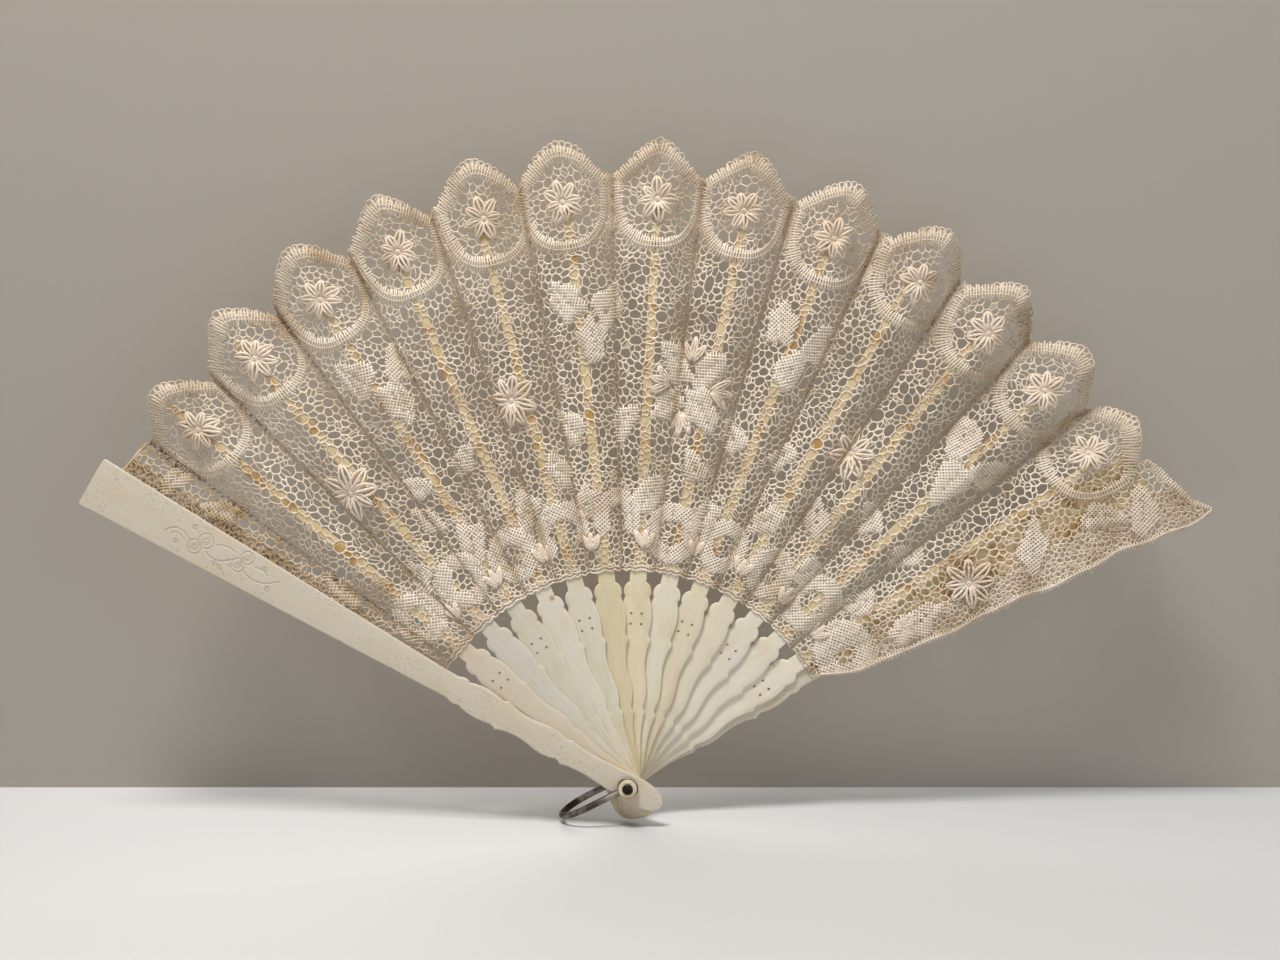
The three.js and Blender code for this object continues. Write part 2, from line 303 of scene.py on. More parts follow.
# bone sticks and guards
bone = {
    "frontHead": 13.8,      # reach of the heads beyond the rivet
    "stickHead": 13.4,
    "rearHead": 9.5,
    "shorterFrom": 10.5,    # sticks before it get shorter heads, down to the rear ones
    "shorterBy": 1.1,
    "headEdge": [           # shares of the reach, and half-widths
        ((1.0, 2.5), (0.76, 3.8)),
        ((0.47, 5.5), (0.0, 4.7)),
    ],
    "gorgeEdge": [          # half-widths at distances out from the rivet: curve point, end point
        ((8, 4.2), (15, 3.85)),
        ((21.5, 3.75), (25.4, 4.9)),
        ((26, 4.1), (27.7, 4.0)),
        ((31.5, 5.9), (38.5, 4.35)),
        ((46.5, 3.2), (51.7, 5.75)),
        ((52.4, 4.9), (54.1, 4.75)),
        ((61.3, 6.6), (67.3, 4.4)),
        ((68.2, 5.25), (69.9, 4.95)),
        ((71.9, 4.6), (72.5, 3.05)),
    ],
    "apart": 0.05,          # keeps neighbouring stations apart
    "neckFrom": 69.0,
    "tabHalf": 3.05,
    "tabRoot": 73.1,
    "guardRoot": 76.5,
    "curveSteps": 9,
    "gorgeThick": 1.15,
    "gorgeCrown": 0.16,
    "gorgeEase": 0.3,
    "gorgeRows": 6,
    "easeIn": (0, 0.32),    # the two rows of an eased edge: shares of the ease, inwards and down
    "easeDown": (1, 0.3),
    "easeMost": 0.45,       # share of the half-width
    "slipThick": 0.5,
    "slipEdge": [(70, 3.05), (79, 3.05), (80.05, 2.0), (211.5, 1.5), (212.4, 1.25), (213, 0.5)],
    "slipEase": 0.12,
    "slipRows": 4,
    "guardGorgeThick": 2.3,
    "plateLift": 0.8,
    "plateThick": 1.5,
    "plateEdge": [(76.6, 4.41), (219.2, 9.35), (219.8, 9.1), (220, 8.55)],
    "plateEase": 0.5,
    "plateCrown": 0.26,
    "plateStart": 4.3,
    "plateRows": 8,
    "plateStations": (82, 219, 8.0),
    "hole": 1.6,
    "holeSides": 32,
    "pierceRadius": 0.5,
    "pierceSides": 16,
    "pierceAt": 59.2,
    "pierceHalf": 1.9,
    # each stick's own tone, with painted light: the tints rise from left to right, so the sticks on the left
    # are painted darker
    "tintsWithPaintedLight": [
        (0.66, 0.58, 0.47), (0.65, 0.61, 0.53), (0.66, 0.62, 0.51), (0.73, 0.68, 0.57), (0.70, 0.66, 0.54),
        (0.70, 0.61, 0.41), (0.77, 0.68, 0.49), (0.78, 0.72, 0.58), (0.76, 0.69, 0.52), (0.77, 0.70, 0.56),
        (0.79, 0.74, 0.63), (0.80, 0.74, 0.62), (0.82, 0.76, 0.64),
    ],
    "stainedStick": 3,
    "stainAt": (72.2, -1.9),
    "guardTint": (0.64, 0.575, 0.475),
    "grainUnit": 100,       # millimetres to one unit of the grain map
    "grainShift": {"stick": 1.7, "front_guard": 31, "rear_guard": 47, "washer": 61},
}

# a scroll spray on the front guard: millimetres along and across it
engraving = {
    "start": 142.5,
    "end": 190.5,
    "step": 0.22,
    "rows": 72,
    "depth": 0.2,
    "half": 0.3,
    "flowers": [(176.5, 1.9, 2.6), (173.7, -1.8, 2.7), (159.8, 0.0, 2.4), (157.9, -3.9, 2.3)],
    "petalArcs": [(0, 0, 1, 0, 360), (0.3, -0.2, 0.62, 40, 250), (0.1, 0, 0.28, 0, 360)],   # off, size, turn
    "stems": [
        ((188.3, 2.2), (186.0, -3.2), (179.0, 0.6)),
        ((186.0, 1.8), (184.5, -0.6), (181.6, 1.4)),
        ((172.0, 1.6), (167.0, 4.2), (162.2, -1.0)),
        ((169.5, -2.6), (166.0, -4.6), (163.0, -3.4)),
        ((157.2, 0.8), (150.5, 4.4), (144.0, -2.2)),
        ((153.8, -2.2), (151.0, -3.6), (148.8, -1.6)),
    ],
    "stemSteps": 60,
    "buds": [(167.3, 3.6), (165.2, 4.1), (183.2, 3.4), (150.6, -3.4), (146.6, 2.4), (179.6, -4.2)],
    "budArcs": [(0, 0, 0.8, 0, 360), (0.5, 0, 0.5, 90, 270)],
}

# tones laid over the bone's tint, with distances in units of the grain map
boneFinish = {
    "streak": (0.93, 0.90, 0.84),           # shares of the tint
    "streakShare": 0.5,
    "honey": ((0.60, 0.43, 0.18), 0.26),    # a tone, and how far it covers
    "rivetDirt": (0.58, 0.40, 0.15),
    "rivetReach": (0.34, -0.02),
    "pore": (0.23, 0.13, 0.05),
    "coveredHoneyAndShade": ((0.67, 0.52, 0.29), 0.9),   # under the lace: the slips' honey tone, and painted shade on the rear guard's front faces
    "coveredFrom": (0.765, 0.80),
    "glue": (0.45, 0.25, 0.08),
    "stain": ((0.40, 0.21, 0.04), 0.85),
    "stainReach": (0.015, 0.002),
    "grooveDirt": ((0.34, 0.28, 0.19), 0.45),
    "roughness": (0.36, 0.55),
    "specular": 0.4,
    "bump": (0.25, 0.0001),
    "shiftAcross": 0.6,
    "streaks": (9, 16, 6, 0.0, 0.35, 0.7),  # noise: scale, draw along the grain, detail, place, low, high
    "cloud": (6, 2.5, 3, 4.3, 0.48, 0.72),
    "poreField": (7, 1.5, 2, 2.2, 0.4, 0.6),
    "glueSpots": (14, 1, 3, 6.4, 0.46, 0.66),
    "stickPores": {"specks": (60, 5, 2, 9.1, 0.68, 0.78), "share": 0.6, "dirt": 0.6},
    "guardPores": {"specks": (60, 2.6, 2, 9.1, 0.57, 0.67), "share": 0.34, "dirt": 0.12},
}


def quadratic(start, via, end, share):
    keep = 1 - share
    weights = (keep * keep, 2 * keep * share, share * share)
    return tuple(sum(weight * value for weight, value in zip(weights, row)) for row in zip(start, via, end))


def gorgeStations(head, tabHalf, tabEnd):
    stations = [(-head, bone["apart"])]
    start = (-head, 0)
    headRuns = [((-head * via[0], via[1]), (-head * end[0], end[1])) for via, end in bone["headEdge"]]
    for via, end in [*headRuns, *bone["gorgeEdge"]]:
        for step in range(1, bone["curveSteps"] + 1):
            stations.append(quadratic(start, via, end, step / bone["curveSteps"]))
        start = end
    stations.append((start[0] + bone["apart"], tabHalf))
    stations.append((tabEnd, tabHalf))
    # a guard has no neck: its last lobe runs into the plate
    return [(place, max(half, tabHalf) if place > bone["neckFrom"] else half) for place, half in stations]


def boneSlab(stations, inner, back, front, ease, crown):
    # a grid drawn in to the outline, extruded to its thickness, with eased edges and a crowned front
    edgeRows = len(bone["easeIn"])
    rows = inner + 2 * edgeRows
    bpy.ops.object.select_all(action="DESELECT")
    bpy.ops.mesh.primitive_grid_add(x_subdivisions=len(stations) - 1, y_subdivisions=rows, size=2)
    slab = bpy.context.object
    bpy.ops.object.mode_set(mode="EDIT")
    bpy.ops.mesh.select_all(action="SELECT")
    bpy.ops.mesh.extrude_region_move(TRANSFORM_OT_translate={"value": (0, 0, -1)})
    bpy.ops.mesh.select_all(action="SELECT")
    bpy.ops.mesh.normals_make_consistent(inside=False)
    bpy.ops.object.mode_set(mode="OBJECT")
    for vertex in slab.data.vertices:
        along, half = stations[round((vertex.co.x + 1) / 2 * (len(stations) - 1))]
        row = round((vertex.co.y + 1) / 2 * rows)
        fromEdge = min(row, rows - row)
        side = 1 if row * 2 > rows else -1
        soft = min(ease, half * bone["easeMost"])
        if fromEdge < edgeRows:
            across = side * (half - soft * bone["easeIn"][fromEdge])
            drop = soft * bone["easeDown"][fromEdge]
        else:
            across = (half - soft) * (2 * (row - edgeRows) / inner - 1)
            drop = 0
        if vertex.co.z > -0.5:
            height = front - drop + crown * (1 - (across / half) ** 2)
        else:
            height = back + drop
        vertex.co = (along, across, height)
    return slab


def layGrain(piece):
    # the grain map runs along the stick
    grain = piece.data.uv_layers.active or piece.data.uv_layers.new(name="grain")
    grain.name = "grain"
    for loop in piece.data.loops:
        place = piece.data.vertices[loop.vertex_index].co
        grain.data[loop.index].uv = (place.x / bone["grainUnit"], place.y / bone["grainUnit"])


def makeStick(index):
    number = index + 1
    longer = bone["shorterBy"] * max(0, bone["shorterFrom"] - number)
    head = min(bone["stickHead"], bone["rearHead"] + longer)
    thick = bone["gorgeThick"] / 2
    stick = boneSlab(
        gorgeStations(head, bone["tabHalf"], bone["tabRoot"]), bone["gorgeRows"],
        -thick, thick - bone["gorgeCrown"], bone["gorgeEase"], bone["gorgeCrown"],
    )
    thin = bone["slipThick"] / 2
    slip = boneSlab(bone["slipEdge"], bone["slipRows"], -thin, thin, bone["slipEase"], 0)
    joinSolid(stick, slip, "UNION")
    drillHole(stick, 0, 0, bone["hole"], bone["holeSides"])
    if index % 2 == 0:
        for across in (-bone["pierceHalf"], bone["pierceHalf"]):
            for along in (-bone["pierceHalf"], bone["pierceHalf"]):
                drillHole(stick, bone["pierceAt"] + along, across, bone["pierceRadius"], bone["pierceSides"])
    layGrain(stick)
    stick.data.transform(stand(stickAngle(index), stickDepth(index)))
    node = numbered("stick", number)
    stain = bone["stainAt"] if index == bone["stainedStick"] else None
    shift = number * bone["grainShift"]["stick"]
    material = boneMaterial(numbered("boneStick", number), bone["tintsWithPaintedLight"][index], shift, True, stain)
    finishPiece(stick, f"{node}_bone", material, node, node)


def engravedStrokes():
    # points along the lines of the flowers, stems and buds
    def arc(x, y, radius, start, end):
        count = max(6, int(abs(end - start) * radius / 6))
        turns = np.radians(np.linspace(start, end, count))
        return [(x + radius * math.cos(turn), y + radius * math.sin(turn)) for turn in turns]

    points = []
    for x, y, radius in engraving["flowers"]:
        for offX, offY, size, start, end in engraving["petalArcs"]:
            points += arc(x + offX, y + offY, radius * size, start, end)
    steps = engraving["stemSteps"]
    for stem in engraving["stems"]:
        points += [quadratic(*stem, step / steps) for step in range(steps + 1)]
    for x, y in engraving["buds"]:
        for offX, offY, radius, start, end in engraving["budArcs"]:
            points += arc(x + offX, y + offY, radius, start, end)
    return points


def strokeTree():
    strokes = engravedStrokes()
    tree = kdtree.KDTree(len(strokes))
    for index, (x, y) in enumerate(strokes):
        tree.insert((x, y, 0), index)
    tree.balance()
    return tree


def engraveFront(slab):
    tree = strokeTree()
    floor = bone["plateLift"] + bone["plateThick"] / 2
    for vertex in slab.data.vertices:
        if vertex.co.z < floor or not engraving["start"] < vertex.co.x < engraving["end"]:
            continue
        gap = tree.find((vertex.co.x, vertex.co.y, 0))[2]
        if gap < engraving["half"]:
            vertex.co.z -= engraving["depth"] * (1 - (gap / engraving["half"]) ** 2)


def markGrooves(piece):
    # how deep a point lies in the engraving, for the dirt in its lines
    tree = strokeTree()
    groove = piece.data.attributes.new("groove", "FLOAT", "POINT")
    for index, vertex in enumerate(piece.data.vertices):
        if engraving["start"] < vertex.co.x < engraving["end"] and vertex.co.z > bone["plateThick"]:
            gap = tree.find((vertex.co.x, vertex.co.y, 0))[2]
            groove.data[index].value = max(0, 1 - gap / engraving["half"])


def plateStations(engraved):
    edge = bone["plateEdge"]
    stations = list(edge)
    places = list(np.arange(*bone["plateStations"]))
    if engraved:
        start, end = engraving["start"], engraving["end"]
        places = [place for place in places if not start < place < end]
        places += list(np.arange(start, end, engraving["step"]))
    (startAt, startHalf), (endAt, endHalf) = edge[0], edge[1]
    for place in places:
        stations.append((place, startHalf + (endHalf - startHalf) * (place - startAt) / (endAt - startAt)))
    return sorted(stations)


def makeGuard(node, angle, head, engraved):
    # gorge and plate in one, with the plate's back lifted off the stack for the leaf's end
    stations = gorgeStations(head, bone["plateStart"], bone["guardRoot"]) + plateStations(engraved)
    rows = engraving["rows"] if engraved else bone["plateRows"]
    front = bone["guardGorgeThick"] - bone["plateCrown"]
    guard = boneSlab(stations, rows, 0, front, bone["plateEase"], bone["plateCrown"])
    for vertex in guard.data.vertices:
        if vertex.co.x > bone["guardRoot"] + 0.01 and vertex.co.z < bone["guardGorgeThick"] / 2:
            vertex.co.z += bone["plateLift"]
    if engraved:
        engraveFront(guard)
    drillHole(guard, 0, 0, bone["hole"], bone["holeSides"])
    layGrain(guard)
    if engraved:
        markGrooves(guard)
        guard.data.transform(stand(angle, fan["guardBase"]))
    else:
        guard.data.transform(stand(angle, -fan["guardBase"]) @ Matrix.Rotation(math.pi, 4, "X"))
    shift = bone["grainShift"][node]
    material = boneMaterial(node + "Bone", bone["guardTint"], shift, False, grooved=engraved, porous=True)
    finishPiece(guard, node + "_bone", material, node, node)
    # painted shade: a second, darker copy of the bone for the front faces under the leaf's end
    if not engraved:
        guard.data.materials.append(boneMaterial(node + "UnderLeafShade", bone["guardTint"], shift, True))
        for face in guard.data.polygons:            # painted shade under the leaf's end: these faces take the darker copy
            if face.normal.y < -0.5 and face.center.length > bone["guardRoot"] * mm:
                face.material_index = 1


def boneMaterial(name, tint, shift, underLace, stain=None, grooved=False, porous=False):
    material, tree, surface = shaderTree(name)
    grain = tree.nodes.new("ShaderNodeUVMap")
    grain.uv_map = "grain"
    finish = boneFinish
    pored = finish["guardPores"] if porous else finish["stickPores"]

    def drawn(scale, draw, detail, place, low, high):
        # noise drawn out along the grain
        mapping = tree.nodes.new("ShaderNodeMapping")
        mapping.inputs["Location"].default_value = (shift + place, shift * finish["shiftAcross"], 0)
        mapping.inputs["Scale"].default_value = (1, draw, 1)
        tree.links.new(grain.outputs[0], mapping.inputs["Vector"])
        return eased(tree, noise(tree, mapping.outputs[0], scale, detail), low, high)

    def lay(colour, amount, tone, share):
        return blend(tree, combine(tree, "MULTIPLY", amount, share), colour, tone)

    streaks = drawn(*finish["streaks"])
    pores = combine(tree, "MULTIPLY", drawn(*pored["specks"]), drawn(*finish["poreField"]))
    split = tree.nodes.new("ShaderNodeSeparateXYZ")
    tree.links.new(grain.outputs[0], split.inputs[0])
    along = split.outputs["X"]
    nearRivet = eased(tree, along, *finish["rivetReach"])

    darker = tuple(channel * share for channel, share in zip(tint, finish["streak"]))
    colour = lay(tint, streaks, darker, finish["streakShare"])
    colour = lay(colour, drawn(*finish["cloud"]), *finish["honey"])
    colour = lay(colour, nearRivet, finish["rivetDirt"], combine(tree, "MULTIPLY", streaks, pored["dirt"]))
    colour = lay(colour, pores, finish["pore"], pored["share"])
    # under the lace: honey on the sticks' slips, and painted shade in the rear guard's darker copy
    if underLace:
        coveredHoneyAndShade = eased(tree, along, *finish["coveredFrom"])
        colour = lay(colour, coveredHoneyAndShade, *finish["coveredHoneyAndShade"])
        colour = lay(colour, coveredHoneyAndShade, finish["glue"], drawn(*finish["glueSpots"]))
    if stain:
        away = tree.nodes.new("ShaderNodeVectorMath")
        away.operation = "DISTANCE"
        away.inputs[1].default_value = (stain[0] / bone["grainUnit"], stain[1] / bone["grainUnit"], 0)
        tree.links.new(grain.outputs[0], away.inputs[0])
        spot = eased(tree, away.outputs["Value"], *finish["stainReach"])
        colour = lay(colour, spot, *finish["stain"])
    if grooved:
        colour = lay(colour, attributeValue(tree, "groove"), *finish["grooveDirt"])
    tree.links.new(colour, surface.inputs["Base Color"])
    tree.links.new(spread(tree, streaks, *finish["roughness"]), surface.inputs["Roughness"])
    surface.inputs["Specular IOR Level"].default_value = finish["specular"]
    addBump(tree, surface, streaks, *finish["bump"])
    return material


# rivet pin, washers and loop
rivet = {
    "shaftRadius": 1.3,
    "headRadius": 1.9,
    "headRise": 1.1,
    "tailRadius": 1.8,
    "tailRise": 0.8,
    "headBase": 14.35,
    "domeSteps": 8,
    "pinSteps": 40,
    "washerRadius": 3.25,
    "washerThick": 1.2,
    "washerBase": 13.0,
    "washerSteps": 44,
    "washerBackEase": [(0.35, 0), (0.1, 0.1), (0, 0.35)],       # in from the rim or bore, and off the face
    "washerFrontEase": [(0, 0.45), (0.12, 0.15), (0.4, 0)],
    "washerBoreEase": [(0.3, 0), (0.06, 0.1), (0, 0.3)],
    "eyeRadius": 3.7,
    "eyeThick": 1.2,
    "eyeEase": 0.3,
    "eyeEaseSteps": 3,
    "eyeSides": 48,
    "wireWidth": 2.4,
    "wireThick": 1.5,
    "wireSides": 28,
    "loopHalf": 11.95,
    "legStart": 2.2,
    "legEnd": 15.2,
    "bendSteps": 48,
    "smoothAngle": 40,
    "weld": 0.001,
    "washerTint": (0.77, 0.68, 0.49),
    "pinBlack": ((0.008, 0.007, 0.007), (0.02, 0.018, 0.017), 0.12, 0.0),   # dark, light, roughness, metallic
    "loopPatina": ((0.06, 0.05, 0.042), (0.32, 0.29, 0.255), 0.34, 1.0),
    "patina": (260, 5),                     # noise: scale and detail
    "patinaEnds": (0.38, 0.68),
    "patinaRougher": 0.15,
    "metalSpecular": 0.12,
    "metalBump": (0.3, 0.00008),
}


def weldAll():
    # in edit mode: closes the seams, turns the faces out and leaves
    bpy.ops.mesh.select_all(action="SELECT")
    bpy.ops.mesh.remove_doubles(threshold=rivet["weld"])
    bpy.ops.mesh.normals_make_consistent(inside=False)
    bpy.ops.object.mode_set(mode="OBJECT")


def turnedPiece(profile, steps):
    # an open profile of radius and height, spun about the rivet axis
    bpy.ops.object.select_all(action="DESELECT")
    bpy.ops.mesh.primitive_grid_add(x_subdivisions=len(profile) - 1, y_subdivisions=1, size=2)
    piece = bpy.context.object
    bpy.ops.object.mode_set(mode="EDIT")
    bpy.ops.mesh.select_all(action="DESELECT")
    bpy.ops.object.mode_set(mode="OBJECT")
    for vertex in piece.data.vertices:
        vertex.select = vertex.co.y > 0
    bpy.ops.object.mode_set(mode="EDIT")
    bpy.ops.mesh.delete(type="VERT")
    bpy.ops.object.mode_set(mode="OBJECT")
    for vertex in piece.data.vertices:
        radius, height = profile[round((vertex.co.x + 1) / 2 * (len(profile) - 1))]
        vertex.co = (radius, 0, height)
    bpy.ops.object.mode_set(mode="EDIT")
    bpy.ops.mesh.select_all(action="SELECT")
    bpy.ops.mesh.spin(steps=steps, angle=2 * math.pi, center=(0, 0, 0), axis=(0, 0, 1))
    weldAll()
    return piece


def domeProfile(radius, base, rise):
    steps = rivet["domeSteps"]
    turns = [step / steps * math.pi / 2 for step in range(steps)]
    slope = [(radius * math.cos(turn), base + rise * math.sin(turn)) for turn in turns]
    return [*slope, (0, base + rise)]


def makePin():
    shaft = rivet["shaftRadius"]
    base = rivet["headBase"]
    tail = domeProfile(rivet["tailRadius"], -base, -rivet["tailRise"])
    head = domeProfile(rivet["headRadius"], base, rivet["headRise"])
    pin = turnedPiece([*reversed(tail), (shaft, -base), (shaft, base), *head], rivet["pinSteps"])
    pin.data.transform(stand(0, 0))
    material = metalMaterial("pinBlack", *rivet["pinBlack"])
    finishPiece(pin, "rivet_pin_turned", material, "rivet_pin", "rear_guard", rivet["smoothAngle"])


def makeWasher(node, side, material):
    half = rivet["washerThick"] / 2
    hole = bone["hole"]
    rim = rivet["washerRadius"]
    profile = [(hole, -half)]
    profile += [(rim - inward, -half + off) for inward, off in rivet["washerBackEase"]]
    profile += [(rim - inward, half - off) for inward, off in rivet["washerFrontEase"]]
    profile += [(hole + inward, half - off) for inward, off in rivet["washerBoreEase"]]
    profile.append((hole, -half))
    washer = turnedPiece(profile, rivet["washerSteps"])
    layGrain(washer)
    washer.data.transform(stand(0, side * (rivet["washerBase"] + half)))
    finishPiece(washer, node + "_bone", material, node, "rear_guard", rivet["smoothAngle"])


def addEye(depth):
    bpy.ops.object.select_all(action="DESELECT")
    bpy.ops.mesh.primitive_cylinder_add(
        vertices=rivet["eyeSides"], radius=rivet["eyeRadius"], depth=rivet["eyeThick"],
        location=(0, 0, depth),
    )
    eye = bpy.context.object
    bpy.ops.object.transform_apply(location=True)
    bpy.ops.object.modifier_add(type="BEVEL")
    ease = eye.modifiers[-1]
    ease.width = rivet["eyeEase"]
    ease.segments = rivet["eyeEaseSteps"]
    bpy.ops.object.modifier_apply(modifier=ease.name)
    return eye


def makeLoop():
    # a half-round face drawn out to a leg, swung round the bend and drawn back along the other leg
    half = rivet["loopHalf"]
    reach = rivet["legEnd"] - rivet["legStart"]
    rise = rivet["wireThick"]
    bpy.ops.object.select_all(action="DESELECT")
    bpy.ops.mesh.primitive_circle_add(
        vertices=rivet["wireSides"], radius=1, fill_type="NGON", rotation=(0, math.radians(90), 0))
    loop = bpy.context.object
    bpy.ops.object.transform_apply(rotation=True)
    bpy.ops.object.mode_set(mode="EDIT")
    bpy.ops.mesh.select_all(action="SELECT")
    bpy.ops.mesh.bisect(plane_co=(0, 0, 0), plane_no=(0, 0, 1), use_fill=False, clear_inner=True)
    bpy.ops.mesh.select_all(action="SELECT")
    bpy.ops.transform.resize(value=(1, rivet["wireWidth"] / 2, rise), center_override=(0, 0, 0))
    bpy.ops.transform.translate(value=(rivet["legStart"], 0, half - rise / 2))
    bpy.ops.mesh.extrude_region_move(TRANSFORM_OT_translate={"value": (reach, 0, 0)})
    bpy.ops.mesh.spin(
        steps=rivet["bendSteps"], angle=-math.pi, center=(rivet["legEnd"], 0, 0), axis=(0, 1, 0))
    bpy.ops.mesh.extrude_region_move(TRANSFORM_OT_translate={"value": (-reach, 0, 0)})
    weldAll()
    for depth in (half, -half):
        joinSolid(loop, addEye(depth), "UNION")
    drillHole(loop, 0, 0, bone["hole"], bone["holeSides"])
    loop.data.transform(stand(fan["loopAngle"], 0))
    material = metalMaterial("loopPatina", *rivet["loopPatina"])
    finishPiece(loop, "loop_wire_bent", material, "loop", "loop", rivet["smoothAngle"])


def metalMaterial(name, dark, light, roughness, metallic):
    material, tree, surface = shaderTree(name)
    patina = noise(tree, objectPlace(tree), *rivet["patina"])
    ramp = tree.nodes.new("ShaderNodeValToRGB")
    for element, place, tone in zip(ramp.color_ramp.elements, rivet["patinaEnds"], (dark, light)):
        element.position = place
        element.color = (*tone, 1)
    tree.links.new(patina, ramp.inputs["Fac"])
    tree.links.new(ramp.outputs["Color"], surface.inputs["Base Color"])
    rough = spread(tree, patina, roughness, roughness + rivet["patinaRougher"])
    tree.links.new(rough, surface.inputs["Roughness"])
    surface.inputs["Metallic"].default_value = metallic
    surface.inputs["Specular IOR Level"].default_value = rivet["metalSpecular"]
    addBump(tree, surface, patina, *rivet["metalBump"])
    return material


# lace leaf: drawn on the flat cloth in millimetres, then pleated over the sticks
lace = {
    "seed": 41,
    "inner": 76.8,
    "frontLimit": 151.6,
    "splitFront": 147.4,        # between the end under the front guard and the first fold
    "splitRear": 29.2,          # between the last fold and the end on the rear guard
    "frontCorner": 213.0,
    "rearEdge": [(24.4, 238.0), (26.0, 231.0), (28.5, 227.5), (31.6, 224.0)],
    "rearWave": [(0.22, 7.5), (0.12, 3.1)],     # degrees, and the length they sway over
    "rearRound": (102, 25, 5.0),                # below this radius, over this length, by these degrees
    "hemFrom": 84,
    "hemAngle": 28.3,           # the rear end is doubled over below it
    "glueAngle": 147.2,         # a stained strip along the front guard
    "glueHalf": 0.6,
    "layerShare": 0.75,         # where a piece lies in its layer of the closed fan, and how flat it gets
    "closedKeep": 0.02,
    "cutLength": 156.0,
    "cutSpan": {"panel": 5.1, "fold": 6.4, "leaf_end_front": 4.3, "leaf_fold_14": 3.9, "leaf_end_rear": 7.8},
    "finishes": {               # pale tone, tone for soiling and painted shade, sheen
        "laceNet": ((0.91, 0.79, 0.64), (0.42, 0.28, 0.14), 0.1),
        "laceCloth": ((0.92, 0.82, 0.70), (0.50, 0.36, 0.21), 0.1),
        "laceFlower": ((0.92, 0.80, 0.67), (0.66, 0.48, 0.31), 0.2),
    },
    "stain": (75, 4),           # noise: scale and detail
    "stained": (0.42, 0.72),
    "ageShadeShare": 0.5,
    "fibre": (1400, 3),
    "fibreTone": (0.82, 1.12),
    "roughness": 0.85,
    "specular": 0.2,
    "bump": (0.4, 0.0001),
}
netKind, clothKind, flowerKind = 0, 1, 2        # places in the list of finishes
chance = random.Random(lace["seed"])

# pleats: depths in millimetres, places in pitches from a stick
pleat = {
    "lie": 0.42,                # from a slip's middle to the lace glued on it
    "slipUnder": [(76, 3.05), (79, 3.05), (80.1, 2.0), (213, 1.5)],     # radius, and half a slip's width
    "glueMargin": 0.4,
    "frontLie": [(-1.4, 8.72), (-1.0, 8.70)],       # the ends: before the first or past the last stick, depth
    "rearLie": [(0.35, -8.85), (0.9, -9.2)],
    "frontFade": 0.4,           # the first crease dies out over this much under the guard
    "frontShare": 0.5,
    "guardBack": 9.25,          # the lace stays behind the front guard's plate
    "guardFrom": -0.75,
    "guardPress": 0.2,          # of a thread's depth is left there
    "ends": (160.0, 20.0),      # fan angles past both ends of the leaf
    "innerDeep": 1.4,
    "outerDeep": 11.5,
    "reach": 150,               # from the gorge to where the pleats are deepest
    "hold": 0.06,               # the pleat's left and right edges
    "ridge": 0.14,
    "leftFull": 1.12,           # cloth taken up by the flanks of a pleat, and by the crease between them
    "rightFull": 1.18,
    "creaseFull": 2.2,
    "creaseLeft": 0.46,         # where the steep sides of the crease begin
    "creaseRight": 0.44,
    "creaseShare": 0.7,         # of the fall is reached there
    "creaseDepths": [1, 1.1, 1.1, 1.1, 1, 0.9, 0.65, 0.6, 0.75, 0.7, 0.8, 0.75, 0.85, 0.7],     # by fold
}


def creaseAngles():
    # fan angle and cloth angle of every crease, from the front guard round to the rear one
    pitch = fan["pitch"]
    steps = []
    for index in range(fan["stickCount"]):
        angle = stickAngle(index)
        if index:
            steps.append((angle + (1 - pleat["creaseRight"]) * pitch, pleat["rightFull"]))
        steps.append((angle + 0.5 * pitch, pleat["creaseFull"] if index else 1.0))
        steps.append((angle + pleat["creaseLeft"] * pitch, pleat["creaseFull"]))
        steps.append((angle + pleat["hold"] * pitch, pleat["leftFull"]))
        steps.append((angle - pleat["ridge"] * pitch, 1.0))
    first, last = pleat["ends"]
    steps.append((last, 1.0))
    fanAngles, clothAngles = [first], [0.0]
    for angle, fullness in steps:
        clothAngles.append(clothAngles[-1] - (fanAngles[-1] - angle) * fullness)
        fanAngles.append(angle)
    fanAngles, clothAngles = np.array(fanAngles[::-1]), np.array(clothAngles[::-1])
    middle = np.interp(stickAngle((fan["stickCount"] - 1) // 2), fanAngles, clothAngles)
    return fanAngles, clothAngles - middle + 90


creaseFan, creaseCloth = creaseAngles()


def toCloth(angle):
    return float(np.interp(angle, creaseFan, creaseCloth))


def toFan(angle):
    return np.interp(angle, creaseCloth, creaseFan)


# medallions: one under each scallop
medallion = {
    "radius": 218.0,            # where a medallion is widest
    "half": 17.0,
    "up": 11.2,
    "down": 22.6,
    "zone": 40,                 # the net is plain farther below the widest place
    "webAbove": 4.6,            # the cloth between two medallions ends this far above their widest place
    "archPower": [1.5, 1.3, 1.6, 1.3, 1.5, 1.7, 1.35, 1.3, 1.5, 1.6, 1.35, 1.5, 1.4],    # 1 is a pointed top
    "bowlPower": 2.4,           # round bottom
    "lean": [0, -0.3, -0.2, -0.3, -0.5, 0.5, 0, 0.3, -0.2, -0.9, -0.6, 0.2, 1.3],        # off the sticks
    "dropFront": 0.34,          # scallops get lower towards the guards: millimetres by the count squared
    "dropRear": 0.11,
    "lineSteps": 120,
    "bandHalf": 2.4,
    "bandCore": 1.3,            # the net leaves this much of the band's half free
    "bandWidths": [(0, 1.3), (0.1, 1.45), (0.28, 1.35), (0.42, 0.95), (0.52, 0.6), (0.75, 1.25), (1, 1.3)],
    "cordGrows": (-0.8, 0.8),
    "crownGrow": 2.0,           # a second row of picots over the top
    "crownPitch": 0.8,
    "flowerBelow": 6.4,
    "flowerReach": 8.2,
    "flowerPetals": 8,
    "flowerTurn": 40,
}
